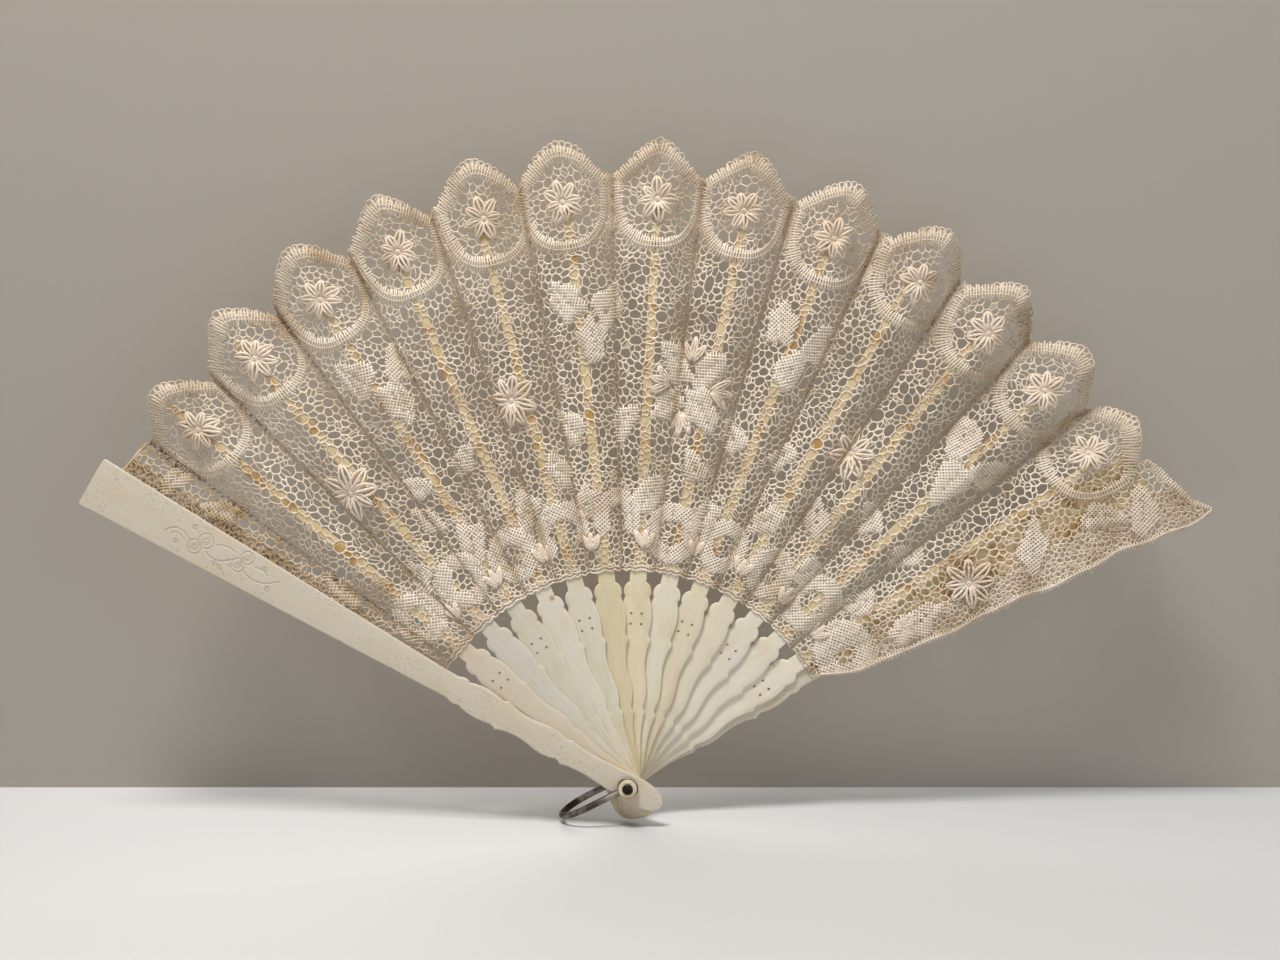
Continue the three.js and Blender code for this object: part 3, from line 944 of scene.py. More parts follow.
clothSticks = [toCloth(stickAngle(index)) for index in range(fan["stickCount"])]
clothPitch = clothSticks[4] - clothSticks[5]
medallionAngles = [toCloth(stickAngle(index) + lean) for index, lean in enumerate(medallion["lean"])]


def clothPoint(angle, radius):
    turn = math.radians(angle)
    return radius * math.cos(turn), radius * math.sin(turn)


def clothPolar(x, z):
    return math.degrees(math.atan2(z, x)), math.hypot(x, z)


def slipHalf(radius):
    return np.interp(radius, *zip(*pleat["slipUnder"]))


def pleatAt(angle, radius):
    # sticks counted from the first, how far the pleat has fallen back, the side, and the lace's depth
    last = fan["stickCount"] - 1
    count = (fan["firstStick"] - angle) / fan["pitch"]
    nearest = np.clip(np.round(count), 0, last)
    off = count - nearest
    hold = (slipHalf(radius) + pleat["glueMargin"]) / (radius * math.radians(fan["pitch"]))
    ridge = np.maximum(hold, pleat["ridge"])
    glued = np.sign(off) * np.clip((np.abs(off) - hold) / (0.5 - hold), 0, 1) * 0.5
    warped = nearest + np.where(np.abs(off) <= 0.5, glued, off)
    lies = [*pleat["frontLie"], *[(index, stickDepth(index)) for index in range(last + 1)]]
    lies += [(last + place, depth) for place, depth in pleat["rearLie"]]
    base = np.interp(warped, *zip(*lies))
    knee = np.where(off < 0, pleat["creaseLeft"], pleat["creaseRight"])
    level = np.where(off < 0, hold, ridge)
    gentle = (np.abs(off) - level) / np.maximum(knee - level, 0.02) * pleat["creaseShare"]
    steep = 1 - (0.5 - np.abs(off)) / (0.5 - knee) * (1 - pleat["creaseShare"])
    fall = np.clip(np.where(np.abs(off) < knee, gentle, steep), 0, 1)
    beforeFirst = count < -0.5
    fall = np.where(beforeFirst, np.clip(1 - (-count - 0.5) / pleat["frontFade"], 0, 1), fall)
    fall = np.where(count > last, 0, fall)
    reach = np.clip((radius - lace["inner"]) / pleat["reach"], 0, 1.05)
    deep = pleat["innerDeep"] + (pleat["outerDeep"] - pleat["innerDeep"]) * reach
    deep = deep * np.array(pleat["creaseDepths"])[np.clip(np.ceil(count), 0, last + 1).astype(int)]
    deep = np.where(beforeFirst, deep * pleat["frontShare"], deep)
    return count, fall, off, base + pleat["lie"] - deep * fall


def rearLimit(radius):
    # lowest fan angle of the rear end: nearly straight, and rounded in to the gorge
    below, over, turn = lace["rearRound"]
    wave = sum(size * np.sin(radius / length) for size, length in lace["rearWave"])
    return lace["rearEdge"][0][0] + wave + (np.maximum(below - radius, 0) / over) ** 2 * turn


def medallionRadius(index):
    away = index - (fan["stickCount"] - 1) / 2
    drop = medallion["dropFront"] if away < 0 else medallion["dropRear"]
    return medallion["radius"] - drop * away * away


def medallionPlace(x, z, index):
    # across and outward from the medallion's widest place
    turn = math.radians(medallionAngles[index])
    across = x * math.sin(turn) - z * math.cos(turn)
    return across, x * math.cos(turn) + z * math.sin(turn) - medallionRadius(index)


def medallionShare(x, z, index, grow):
    # below 1 inside the medallion whose middle line is grown by that much
    a, b = medallionPlace(x, z, index)
    side = abs(a / (medallion["half"] + grow))
    if b > 0:
        return side ** medallion["archPower"][index] + b / (medallion["up"] + grow)
    return side ** medallion["bowlPower"] + (-b / (medallion["down"] + grow)) ** medallion["bowlPower"]


def medallionLine(index, grow, count=medallion["lineSteps"]):
    # round the arch from left to right, then round the bowl
    half = medallion["half"] + grow
    line = []
    for step in range(count):
        a = -half * math.cos(math.pi * step / count)
        line.append((a, (medallion["up"] + grow) * (1 - abs(a / half) ** medallion["archPower"][index])))
    for step in range(count):
        turn = math.pi * step / count
        sine, cosine = math.sin(turn), math.cos(turn)
        a = math.copysign(abs(cosine) ** (2 / medallion["bowlPower"]), cosine) * half
        line.append((a, -(medallion["down"] + grow) * sine ** (2 / medallion["bowlPower"])))
    turn = math.radians(medallionAngles[index])
    sine, cosine = math.sin(turn), math.cos(turn)
    radius = medallionRadius(index)
    return [(cosine * (radius + b) + sine * a, sine * (radius + b) - cosine * a) for a, b in line]


def nearestMedallion(clothAngle):
    return min(range(fan["stickCount"]), key=lambda index: abs(medallionAngles[index] - clothAngle))


def scallopEdge(clothAngle):
    # outer edge of the net: pointed scallops, a straight front end and a rear end that runs out to a corner
    angle = float(toFan(clothAngle))
    rear = lace["rearEdge"]
    if angle > stickAngle(-0.5):
        return lace["frontCorner"]
    if angle < rear[-1][0]:
        return float(np.interp(angle, *zip(*rear)))
    index = nearestMedallion(clothAngle)
    radius = medallionRadius(index)
    away = abs(math.radians(clothAngle - medallionAngles[index]) * radius)
    share = min(away / (medallion["half"] + medallion["bandHalf"]), 1.02)
    edge = radius + (medallion["up"] + medallion["bandHalf"]) * (1 - share ** medallion["archPower"][index])
    edge = max(edge, radius + medallion["webAbove"])
    if angle > stickAngle(0):
        return max(edge, lace["frontCorner"] - 1)
    return edge


def inLeaf(x, z):
    clothAngle, radius = clothPolar(x, z)
    angle = float(toFan(clothAngle))
    if radius < lace["inner"] or angle > lace["frontLimit"] or angle < rearLimit(radius):
        return False
    return radius < scallopEdge(clothAngle)


def leafPieces():
    # node, body, and the cloth angle where the piece ends, going round from the front guard
    ends = [("leaf_end_front", "front_guard", lace["splitFront"])]
    quarter = fan["pitch"] / 4
    for index in range(fan["stickCount"]):
        fold = numbered("leaf_fold", index + 1)
        stick = numbered("stick", index + 1)
        ends.append((fold, fold, stickAngle(index) + quarter))
        ends.append((numbered("leaf_panel", index + 1), stick, stickAngle(index) - quarter))
    fold = numbered("leaf_fold", fan["stickCount"] + 1)
    ends.append((fold, fold, lace["splitRear"]))
    ends.append(("leaf_end_rear", "rear_guard", 0))
    return [(node, body, toCloth(end) if end else -360) for node, body, end in ends]


pieces = leafPieces()
pieceEnds = [end for _, _, end in pieces]
cloths = [{"points": [], "faces": [], "kinds": []} for _ in pieces]


def pieceOf(x, z):
    angle = math.degrees(math.atan2(z, x))
    return next(index for index, end in enumerate(pieceEnds) if angle >= end)


def addThread(cloth, path, half, rise, kind, closed=False):
    # a thread of diamond section along flat points with a height over the net
    start = len(cloth["points"])
    count = len(path)
    for index, (x, z, height) in enumerate(path):
        before = path[index - 1] if index or closed else path[0]
        after = path[(index + 1) % count] if index < count - 1 or closed else path[-1]
        dx, dz = after[0] - before[0], after[1] - before[1]
        length = math.hypot(dx, dz) or 1
        nx, nz = -dz / length * half, dx / length * half
        cloth["points"] += [
            (x + nx, z + nz, height), (x, z, height + rise), (x - nx, z - nz, height), (x, z, height - rise)]
    for index in range(count if closed else count - 1):
        this = start + 4 * index
        following = start + 4 * ((index + 1) % count)
        for side in range(4):
            turn = (side + 1) % 4
            cloth["faces"].append((this + side, this + turn, following + turn, following + side))
            cloth["kinds"].append(kind)
    if not closed:
        end = start + 4 * (count - 1)
        cloth["faces"] += [(start + 3, start + 2, start + 1, start), (end, end + 1, end + 2, end + 3)]
        cloth["kinds"] += [kind, kind]


def addCord(points, half, rise, height, kind, closed=False):
    # a long thread, parted where it passes from one piece of the leaf to the next
    if closed:
        points = [*points, points[0]]
    owners = [pieceOf(*point) for point in points]
    run = [points[0]]
    for index in range(1, len(points)):
        run.append(points[index])
        if owners[index] != owners[index - 1] or index == len(points) - 1:
            addThread(cloths[owners[index - 1]], [(x, z, height) for x, z in run], half, rise, kind)
            run = [points[index]]


def evenPoints(points, pitch, closed):
    # points along a line at an even pitch, with the direction there
    line = np.array([*points, points[0]] if closed else points)
    steps = np.hypot(*np.diff(line, axis=0).T)
    run = np.concatenate([[0], np.cumsum(steps)])
    count = max(2, round(run[-1] / pitch))
    places = (np.arange(count) + 0.5) * run[-1] / count
    feel = 0.3
    ahead = np.minimum(places + feel, run[-1])
    behind = np.maximum(places - feel, 0)
    dx = np.interp(ahead, run, line[:, 0]) - np.interp(behind, run, line[:, 0])
    dz = np.interp(ahead, run, line[:, 1]) - np.interp(behind, run, line[:, 1])
    size = np.hypot(dx, dz)
    xs = np.interp(places, run, line[:, 0])
    zs = np.interp(places, run, line[:, 1])
    return [tuple(map(float, row)) for row in zip(xs, zs, dx / size, dz / size)]


# cloth-work tape, sewn in stitches across a line
stitch = {
    "pitch": 1.08,
    "half": 0.33,
    "rise": 0.22,
    "height": 0.3,
    "crown": 0.1,
    "uneven": (0.75, 1.15),
    "slant": 0.12,
    "archShare": 0.46,          # of a medallion's band is arch, and in its bowl some stitches are net
    "bowlCloth": 0.7,
    "drawnIn": (0.4, 4),        # an open tape's share of its width at an end, and how fast it widens
}


def addTape(points, half, closed=False):
    places = evenPoints(points, stitch["pitch"], closed)
    total = len(places)
    least, widen = stitch["drawnIn"]
    low, high = stitch["height"] - stitch["crown"], stitch["height"] + stitch["crown"]
    for index, (x, z, dx, dz) in enumerate(places):
        kind = clothKind
        if closed:              # a medallion's band, widest on its upper left
            reach = half * float(np.interp(index / total, *zip(*medallion["bandWidths"])))
            arched = index < total * stitch["archShare"]
            kind = clothKind if arched or chance.random() < stitch["bowlCloth"] else netKind
        else:
            reach = half * min(1, least + widen * min(index, total - 1 - index) / total)
        reach *= chance.uniform(*stitch["uneven"])
        slant = chance.uniform(-stitch["slant"], stitch["slant"])
        aside, along = (dz + dx * slant) * reach, (dx - dz * slant) * reach
        path = [(x + aside, z - along, low), (x, z, high), (x - aside, z + along, low)]
        addThread(cloths[pieceOf(x, z)], path, stitch["half"], stitch["rise"], kind)


# woven patches
patch = {
    "size": (0.9, 1.12),
    "lean": 10,
    "lobes": (3, 4, 5),
    "lobeDepth": 0.14,
    "margin": (1.15, 1),        # room for the lobes: share of the length, and millimetres
    "taper": 0.3,
    "veinHalf": 0.55,           # a vein of small holes
    "veinReach": 0.55,
    "veinPitch": 2.4,
    "scrollSize": (0.93, 1.07),
    "scrollLean": 6,
    "gussetBelow": 19,          # between two medallions: from below their widest place, widening by degrees
    "gussetMiddle": 11,
    "gussetWiden": 4.5,
    "gussetReach": 13,
    "gussetHem": 0.8,
}
weave = {
    "pitch": 1.12,
    "half": 0.33,
    "rise": 0.16,
    "height": 0.2,
    "over": 0.04,
    "slant": 48,
    "uneven": (0.9, 1.1),
    "probe": 0.5,               # how finely a patch's edge is found
    "runOut": 1.4,
    "bend": 2,
}
toiles = []                     # woven patches: middle, reach, direction, and a test for what is inside


def planToile(angle, radius, lean, length, width):
    # a pear-shaped patch, wide at its near end
    size = chance.uniform(*patch["size"])
    turn = math.radians(angle + lean + chance.uniform(-patch["lean"], patch["lean"]))
    cx, cz = clothPoint(angle, radius)
    ux, uz = math.cos(turn), math.sin(turn)
    long, wide = length * size / 2, width * size / 2
    lobes, phase = chance.choice(patch["lobes"]), chance.uniform(0, 6)

    def inside(x, z):
        along = ((x - cx) * ux + (z - cz) * uz) / long
        across = ((z - cz) * ux - (x - cx) * uz) / wide
        inVein = abs(across) * wide < patch["veinHalf"] and abs(along) < patch["veinReach"]
        if inVein and along * long % patch["veinPitch"] < patch["veinPitch"] / 2:
            return False
        edge = 1 + patch["lobeDepth"] * math.cos(lobes * math.atan2(across, along) + phase)
        across /= 1 - patch["taper"] * max(-1, min(1, along))
        return math.hypot(along, across) < edge

    share, beyond = patch["margin"]
    toiles.append((cx, cz, long * share + beyond, turn, inside))


def planScroll(angle, radius, tall, wide, band, gap):
    # an upright oval band with a gap at its lower end
    turn = math.radians(angle + chance.uniform(-patch["scrollLean"], patch["scrollLean"]))
    cx, cz = clothPoint(angle, radius)
    ux, uz = math.cos(turn), math.sin(turn)
    size = chance.uniform(*patch["scrollSize"])

    def inside(x, z):
        along = ((x - cx) * ux + (z - cz) * uz) / (tall * size)
        across = ((z - cz) * ux - (x - cx) * uz) / (wide * size)
        if along < 0 and abs(across) < gap * -along:
            return False
        return abs(math.hypot(along, across) - 1) * min(tall, wide) < band / 2

    toiles.append((cx, cz, max(tall, wide) + band, turn, inside))


def planGusset(index):
    # what is left between two medallions
    angle = (medallionAngles[index] + medallionAngles[index + 1]) / 2
    low = medallion["radius"] - patch["gussetBelow"]
    cx, cz = clothPoint(angle, low + patch["gussetMiddle"])

    def inside(x, z):
        here, radius = clothPolar(x, z)
        if radius < low + patch["gussetWiden"] * abs(here - angle):
            return False
        if radius > scallopEdge(here) - patch["gussetHem"]:
            return False
        return all(medallionShare(x, z, side, medallion["bandHalf"]) > 1 for side in (index, index + 1))

    toiles.append((cx, cz, patch["gussetReach"], math.radians(angle), inside))


def addToile(toile, low=weave["height"], pitch=weave["pitch"], kind=clothKind):
    # two sets of crossing threads that fill the patch and run out into the net
    cx, cz, reach, turn, inside = toile
    probe, runOut = weave["probe"], weave["runOut"]
    for slant, height in ((weave["slant"], low), (-weave["slant"], low + weave["over"])):
        ux, uz = math.cos(turn + math.radians(slant)), math.sin(turn + math.radians(slant))
        level = -reach
        while level < reach:
            run = []
            for place in np.arange(-reach, reach + probe, probe):
                x, z = cx + ux * place - uz * level, cz + uz * place + ux * level
                if inside(x, z) and inLeaf(x, z):
                    run.append(place)
                elif run:
                    ends = run[0] - chance.uniform(0, runOut), run[-1] + chance.uniform(0, runOut)
                    places = np.linspace(*ends, max(2, round((ends[1] - ends[0]) / weave["bend"])))
                    path = [(cx + ux * at - uz * level, cz + uz * at + ux * level, height) for at in places]
                    addParted(path, weave["half"], weave["rise"], kind)
                    run = []
            level += pitch * chance.uniform(*weave["uneven"])


def addParted(path, half, rise, kind):
    # a short thread, parted where it passes from one piece of the leaf to the next
    owners = [pieceOf((x + x2) / 2, (z + z2) / 2) for (x, z, _), (x2, z2, _) in zip(path, path[1:])]
    start = 0
    for index in range(1, len(path)):
        if index == len(path) - 1 or owners[index] != owners[start]:
            addThread(cloths[owners[start]], path[start:index + 1], half, rise, kind)
            start = index


# corded flowers and buds
flower = {
    "lanes": (-1.0, 0.0, 1.0),      # the cords of a petal
    "steps": 6,
    "cordHalf": 0.48,
    "cordRise": 0.5,
    "lift": 0.45,
    "sway": 0.12,
    "length": (0.82, 1.08),
    "width": (0.34, 0.43),
    "bulge": (0.5, 1.6),
    "sideShorter": 0.06,            # the outer cords of a petal
    "sideLower": 0.25,
    "parting": (0.08, 0.86, 0.8),   # of the half turn: where it starts, how much, and its power
    "heart": 1.1,
    "knots": [(0.95, 0.7), (0.45, 1.0)],    # radius and height
    "knotSides": 8,
    "knotHalf": 0.34,
    "knotRise": 0.28,
    "budTurn": 34,
    "budLength": (0.85, 1.1),
    "budWidth": 0.26,
    "budStart": 0.5,
    "budBulge": 0.5,
}


def addPetal(cx, cz, turn, start, length, width, bulge):
    # thick cords side by side that part in the middle of the petal and meet at its tip
    ux, uz = math.cos(turn), math.sin(turn)
    opening, most, power = flower["parting"]
    for lane in flower["lanes"]:
        aside = abs(lane)
        path = []
        for step in range(flower["steps"] + 1):
            share = step / flower["steps"]
            along = start + length * share * (1 - flower["sideShorter"] * aside)
            across = lane * width / 2 * math.sin(math.pi * min(1, opening + share * most)) ** power
            height = flower["lift"] + bulge * math.sin(math.pi * share) * (1 - flower["sideLower"] * aside)
            path.append((cx + ux * along - uz * across, cz + uz * along + ux * across, height))
        addParted(path, flower["cordHalf"], flower["cordRise"], flowerKind)


def addRing(cloth, cx, cz, radii, height, half, rise, kind):
    ring = []
    for step, radius in enumerate(radii):
        turn = 2 * math.pi * step / len(radii)
        ring.append((cx + radius * math.cos(turn), cz + radius * math.sin(turn), height))
    addThread(cloth, ring, half, rise, kind, closed=True)


def addFlower(angle, radius, petals, reach, lean):
    # a raised flower of corded petals round a knot
    cx, cz = clothPoint(angle, radius)
    cloth = cloths[pieceOf(cx, cz)]
    heart = flower["heart"]
    for petal in range(petals):
        sway = chance.uniform(-flower["sway"], flower["sway"])
        turn = math.radians(angle + lean) + 2 * math.pi * petal / petals + sway
        long = reach * chance.uniform(*flower["length"])
        width = long * chance.uniform(*flower["width"])
        addPetal(cx, cz, turn, heart, long - heart, width, chance.uniform(*flower["bulge"]))
    for size, height in flower["knots"]:
        radii = [size] * flower["knotSides"]
        addRing(cloth, cx, cz, radii, height, flower["knotHalf"], flower["knotRise"], flowerKind)


def addBuds(angle, radius, lean, reach, count):
    # a few petals side by side, springing from one point
    cx, cz = clothPoint(angle, radius)
    if not inLeaf(cx, cz):
        return
    for bud in range(count):
        turn = math.radians(angle + lean + (bud - (count - 1) / 2) * flower["budTurn"])
        long = reach * chance.uniform(*flower["budLength"])
        addPetal(cx, cz, turn, flower["budStart"], long, reach * flower["budWidth"], flower["budBulge"])


# loops along the scallops
picot = {
    "radius": 1.45,
    "pitch": 3.3,
    "kept": 1.0,                # share of the loops that are left
    "size": (0.7, 1.2),
    "uneven": (0.88, 1.12),
    "off": 0.8,                 # its middle stands this share of its size off the line
    "sides": 10,
    "height": 0.15,
    "half": 0.3,
    "rise": 0.24,
}


def addPicots(points, pitch):
    # loops that stand out on the left of a line
    for x, z, dx, dz in evenPoints(points, pitch, False):
        if chance.random() > picot["kept"]:
            continue
        size = picot["radius"] * chance.uniform(*picot["size"])
        cx, cz = x - dz * size * picot["off"], z + dx * size * picot["off"]
        radii = [size * chance.uniform(*picot["uneven"]) for _ in range(picot["sides"])]
        cloth = cloths[pieceOf(x, z)]
        addRing(cloth, cx, cz, radii, picot["height"], picot["half"], picot["rise"], netKind)


def inHem(angle, radius):
    return radius > lace["hemFrom"] and rearLimit(radius) < toFan(angle) < lace["hemAngle"]


def underGuard(angle, radius):
    # glued to the front guard, and just beside it
    return radius < lace["frontCorner"] - 1 and abs(toFan(angle) - lace["glueAngle"]) < lace["glueHalf"]


# the second layer behind the net along both ends of the leaf
doubled = {
    "end": 240,
    "step": 12,
    "reach": 14,
    "height": -0.8,
    "pitch": 1.5,
}


def addDoubled(angle, start, within):
    for radius in range(start, doubled["end"], doubled["step"]):

        def inside(x, z):
            here, place = clothPolar(x, z)
            return abs(place - radius) < doubled["step"] / 2 and within(here, place)

        strip = (*clothPoint(angle, radius), doubled["reach"], math.radians(angle), inside)
        addToile(strip, doubled["height"], doubled["pitch"], netKind)


# the net, worked round jittered gaps
net = {
    "cells": {"lower": 2.2, "net": 2.8, "medallion": 2.9, "hem": 1.9},
    "lowerEdge": 118.0,         # below it the net is finer
    "seedAngles": (21, 155),
    "seedMargin": 6,
    "jitter": 0.46,
    "missing": 0.11,            # share of seeds left out, for larger gaps
    "threadHalf": (0.17, 0.37),
    "threadRise": 0.22,
    "cornerWider": 1.45,
    "rimUneven": (0.75, 1.25),
    "rimMost": 0.62,
    "edgeOver": 0.3,            # the border may stand this far past the leaf's edge
    "barred": 0.28,             # share of gaps crossed by a thin thread
    "barBow": 0.3,
    "barHeight": 0.12,
    "barHalf": 0.16,
    "barRise": 0.14,
}


def netZone(x, z, angle, radius):
    if inHem(angle, radius):
        return "hem"
    if radius < net["lowerEdge"]:
        return "lower"
    if radius > medallion["radius"] - medallion["zone"]:
        if medallionShare(x, z, nearestMedallion(angle), 0) < 1:
            return "medallion"
    return "net"


def netSeeds():
    # jittered honeycomb seeds, one for each gap of the net
    seeds = []
    reach = lace["rearEdge"][0][1] + net["seedMargin"]
    near = lace["inner"] - net["seedMargin"]
    low, high = [toCloth(angle) for angle in net["seedAngles"]]
    for zone, cell in net["cells"].items():
        rowPitch = cell * math.sqrt(3) / 2
        for row in range(0, int(reach / rowPitch)):
            for column in range(int(-reach / cell), int(reach / cell)):
                x = (column + 0.5 * (row % 2) + chance.uniform(-1, 1) * net["jitter"]) * cell
                z = (row + chance.uniform(-1, 1) * net["jitter"]) * rowPitch
                skip = chance.random() < net["missing"]
                angle, radius = clothPolar(x, z)
                if skip or not (near < radius < reach and low < angle < high):
                    continue
                if netZone(x, z, angle, radius) == zone:
                    seeds.append((x, z))
    return seeds


def keepCell(x, z):
    if not inLeaf(x, z):
        return False
    angle, radius = clothPolar(x, z)
    if radius > medallion["radius"] - medallion["zone"]:
        index = nearestMedallion(angle)
        core = medallion["bandCore"]
        if medallionShare(x, z, index, -core) > 1 > medallionShare(x, z, index, core):
            return False
    for cx, cz, reach, _, inside in toiles:
        if abs(x - cx) < reach and abs(z - cz) < reach and inside(x, z):
            return False
    return True


def clampCorner(x, z):
    # keeps the net's border on the leaf's edge
    angle, radius = clothPolar(x, z)
    held = min(max(radius, lace["inner"]), scallopEdge(angle) + net["edgeOver"])
    return x * held / radius, z * held / radius


def makeNet():
    seeds = netSeeds()
    coords, _, triangles, _, _, _ = delaunay_2d_cdt([Vector(seed) for seed in seeds], [], [], 0, 1e-6)
    centres = []
    for triangle in triangles:
        middle = [sum(coords[corner][axis] for corner in triangle) / 3 for axis in (0, 1)]
        centres.append(clampCorner(*middle))
    around = [[] for _ in coords]
    for index, triangle in enumerate(triangles):
        for corner in triangle:
            around[corner].append(index)
    owners = [pieceOf(*point) if keepCell(*point) else None for point in coords]
    edgeCells = {}
    rings = {}
    for cell, point in enumerate(coords):
        if owners[cell] is None or len(around[cell]) < 4:
            owners[cell] = None
            continue
        turns = {}
        for near in around[cell]:
            turns[near] = math.atan2(centres[near][1] - point[1], centres[near][0] - point[0])
        ring = sorted(turns, key=turns.get)
        rings[cell] = ring
        for first, second in zip(ring, ring[1:] + ring[:1]):
            edgeCells.setdefault((min(first, second), max(first, second)), []).append(cell)
    shared = [{} for _ in pieces]
    for cell, ring in rings.items():
        addNetCell(owners[cell], ring, centres, owners, edgeCells, shared[owners[cell]])
    print("net:", len(rings), "gaps")


def addNetCell(owner, ring, centres, owners, edgeCells, shared):
    # a ring of thread round one gap, raised along its middle, with an uneven rim
    cloth = cloths[owner]
    rise = net["threadRise"]

    def ridgePoint(key, x, z, side):
        if (key, side) not in shared:
            shared[(key, side)] = len(cloth["points"])
            cloth["points"].append((x, z, side * rise))
        return shared[(key, side)]

    corners = [centres[index] for index in ring]
    count = len(ring)
    mx = sum(x for x, _ in corners) / count
    mz = sum(z for _, z in corners) / count
    half = chance.uniform(*net["threadHalf"])

    def rimPoint(x, z, inset):
        gap = math.hypot(mx - x, mz - z)
        share = min(inset * chance.uniform(*net["rimUneven"]) / max(gap, 1e-6), net["rimMost"])
        cloth["points"].append((x + (mx - x) * share, z + (mz - z) * share, 0))
        return len(cloth["points"]) - 1

    front, back, rim, walls = [], [], [], []
    for index in range(count):
        first, second = ring[index], ring[(index + 1) % count]
        x, z = corners[index]
        x2, z2 = corners[(index + 1) % count]
        edge = (min(first, second), max(first, second))
        middle = ((x + x2) / 2, (z + z2) / 2)
        front += [ridgePoint(first, x, z, 1), ridgePoint(edge, *middle, 1)]
        back += [ridgePoint(first, x, z, -1), ridgePoint(edge, *middle, -1)]
        rim += [rimPoint(x, z, half * net["cornerWider"]), rimPoint(*middle, half)]
        walls += [sum(owners[other] == owner for other in edgeCells[edge]) < 2] * 2
    total = 2 * count
    for index in range(total):
        turn = (index + 1) % total
        cloth["faces"].append((front[index], front[turn], rim[turn], rim[index]))
        cloth["faces"].append((rim[index], rim[turn], back[turn], back[index]))
        cloth["kinds"] += [netKind, netKind]
        if walls[index]:
            cloth["faces"].append((back[index], back[turn], front[turn], front[index]))
            cloth["kinds"].append(netKind)
    if chance.random() < net["barred"]:
        first = chance.randrange(count)
        (x, z), (x2, z2) = corners[first], corners[(first + count // 2) % count]
        bow = chance.uniform(-net["barBow"], net["barBow"])
        bar = [(x, z, 0), (mx + bow, mz - bow, net["barHeight"]), (x2, z2, 0)]
        addThread(cloth, bar, net["barHalf"], net["barRise"], netKind)


# borders and motifs: fan angles in degrees, radii and sizes in millimetres
pattern = {
    "gorgeEnd": 31.5,
    "gorgePoints": 900,
    "gorgeCords": [(0.1, 0.28), (1.4, 0.2)],    # above the leaf's inner edge, and half the width
    "gorgeSway": 0.3,
    "gorgeWave": (0.31, 2, 0.07),               # turn from point to point, and how it quickens and slows
    "gorgeUneven": 0.12,
    "cordRise": 0.3,
    "cordHeight": 0.2,
    "frontEdge": (149.5, 143.5, 60),            # from, to, and points between
    "frontBelow": 0.4,
    "frontCord": 0.5,
    "rearRun": (80, 237, 160),
    "rearTape": 1.2,
    "rearCord": (0.32, 0.28, 0.3),              # half the width, rise, height
    "cornerRun": (31.4, 24.6, 60),
    "cornerTape": 1.5,
    "medallionCord": (0.2, 0.2, 0.42),
    "trefoils": (121.0, 94.5, 68.4, 42.5),
    "trefoilLeaves": [                          # degrees of cloth aside, radius, lean, length, width
        (3.1, 176, 28, 16, 12), (-3.1, 174, -28, 16, 12), (0, 160, 180, 17, 11),
        (5.4, 131, 50, 14, 9), (-5.4, 131, -50, 14, 9),
    ],
    "ringMiddle": (81.5, 145),
    "ringLeaves": (35, 125, 215, 305),
    "ringLeaf": (11, 18, 10),                   # out from the ring's middle, length, width
    "ringBuds": (80, 170, 260, 350),
    "ringBud": (9.5, 8.5, 3),                   # out from the ring's middle, reach, petals
    "flowers": (133.6, 107.0, 55.6, 29.6),
    "flower": (144.5, 8, 10.5, 20),             # radius, petals, reach, turn
    "frontLeaves": [(146.2, 176, 30), (145.8, 124, -20), (145.5, 196, 80)],
    "frontLeaf": (15, 8),
    "rearScroll": (28.4, 92, 8.6, 7.0, 5.2, 0.6),
    "rearLeaves": [(28.0, 122, 10), (27.4, 214, 60), (28.6, 200, -24), (29.6, 172, 60)],
    "rearLeaf": (18, 9),
    "hemStart": 90,
    "glueStart": 112,
}

# units of the border round the gorge, with places in pitches of the cloth
gorgeUnit = {
    "count": 10,
    "start": 0.1,
    "pitch": 1.38,
    "scroll": (94, 7.6, 5.6),                   # radius, height, band
    "scrollWide": (7.4, 8.8),
    "scrollGap": (0.5, 1.1),
    "sway": 3,
    "aside": 0.69,
    "leafRadius": 104,
    "leafSway": 5,
    "leaf": (150, 14, 9),                       # lean, length, width
    "overAside": 0.2,
    "overRadius": 118,
    "over": (30, 13, 8),
    "buds": (85, 0, 6.5, 3),                    # radius, lean, reach, petals
}


def addMedallion(index):
    half, steps = medallion["bandHalf"], medallion["lineSteps"]
    addTape(medallionLine(index, 0), half, closed=True)
    for grow in medallion["cordGrows"]:
        addCord(medallionLine(index, grow, steps // 3), *pattern["medallionCord"], netKind, closed=True)
    arch = medallionLine(index, half)[:steps]
    addPicots(arch[::-1], picot["pitch"])
    crown = medallionLine(index, half + medallion["crownGrow"])[steps // 3:steps * 2 // 3]
    addPicots(crown[::-1], picot["pitch"] * medallion["crownPitch"])
    place = medallionRadius(index) - medallion["flowerBelow"]
    turn = chance.uniform(0, medallion["flowerTurn"])
    addFlower(medallionAngles[index], place, medallion["flowerPetals"], medallion["flowerReach"], turn)


def addGorgeCords():
    ends = lace["frontLimit"], pattern["gorgeEnd"]
    angles = [toCloth(angle) for angle in np.linspace(*ends, pattern["gorgePoints"])]
    turn, quicken, slow = pattern["gorgeWave"]
    for lift, half in pattern["gorgeCords"]:
        line = []
        for index, angle in enumerate(angles):
            sway = pattern["gorgeSway"] * math.sin(index * turn + quicken * math.sin(index * slow))
            sway += chance.uniform(-pattern["gorgeUneven"], pattern["gorgeUneven"])
            line.append(clothPoint(angle, lace["inner"] + lift + sway))
        addCord(line, half, pattern["cordRise"], pattern["cordHeight"], clothKind)


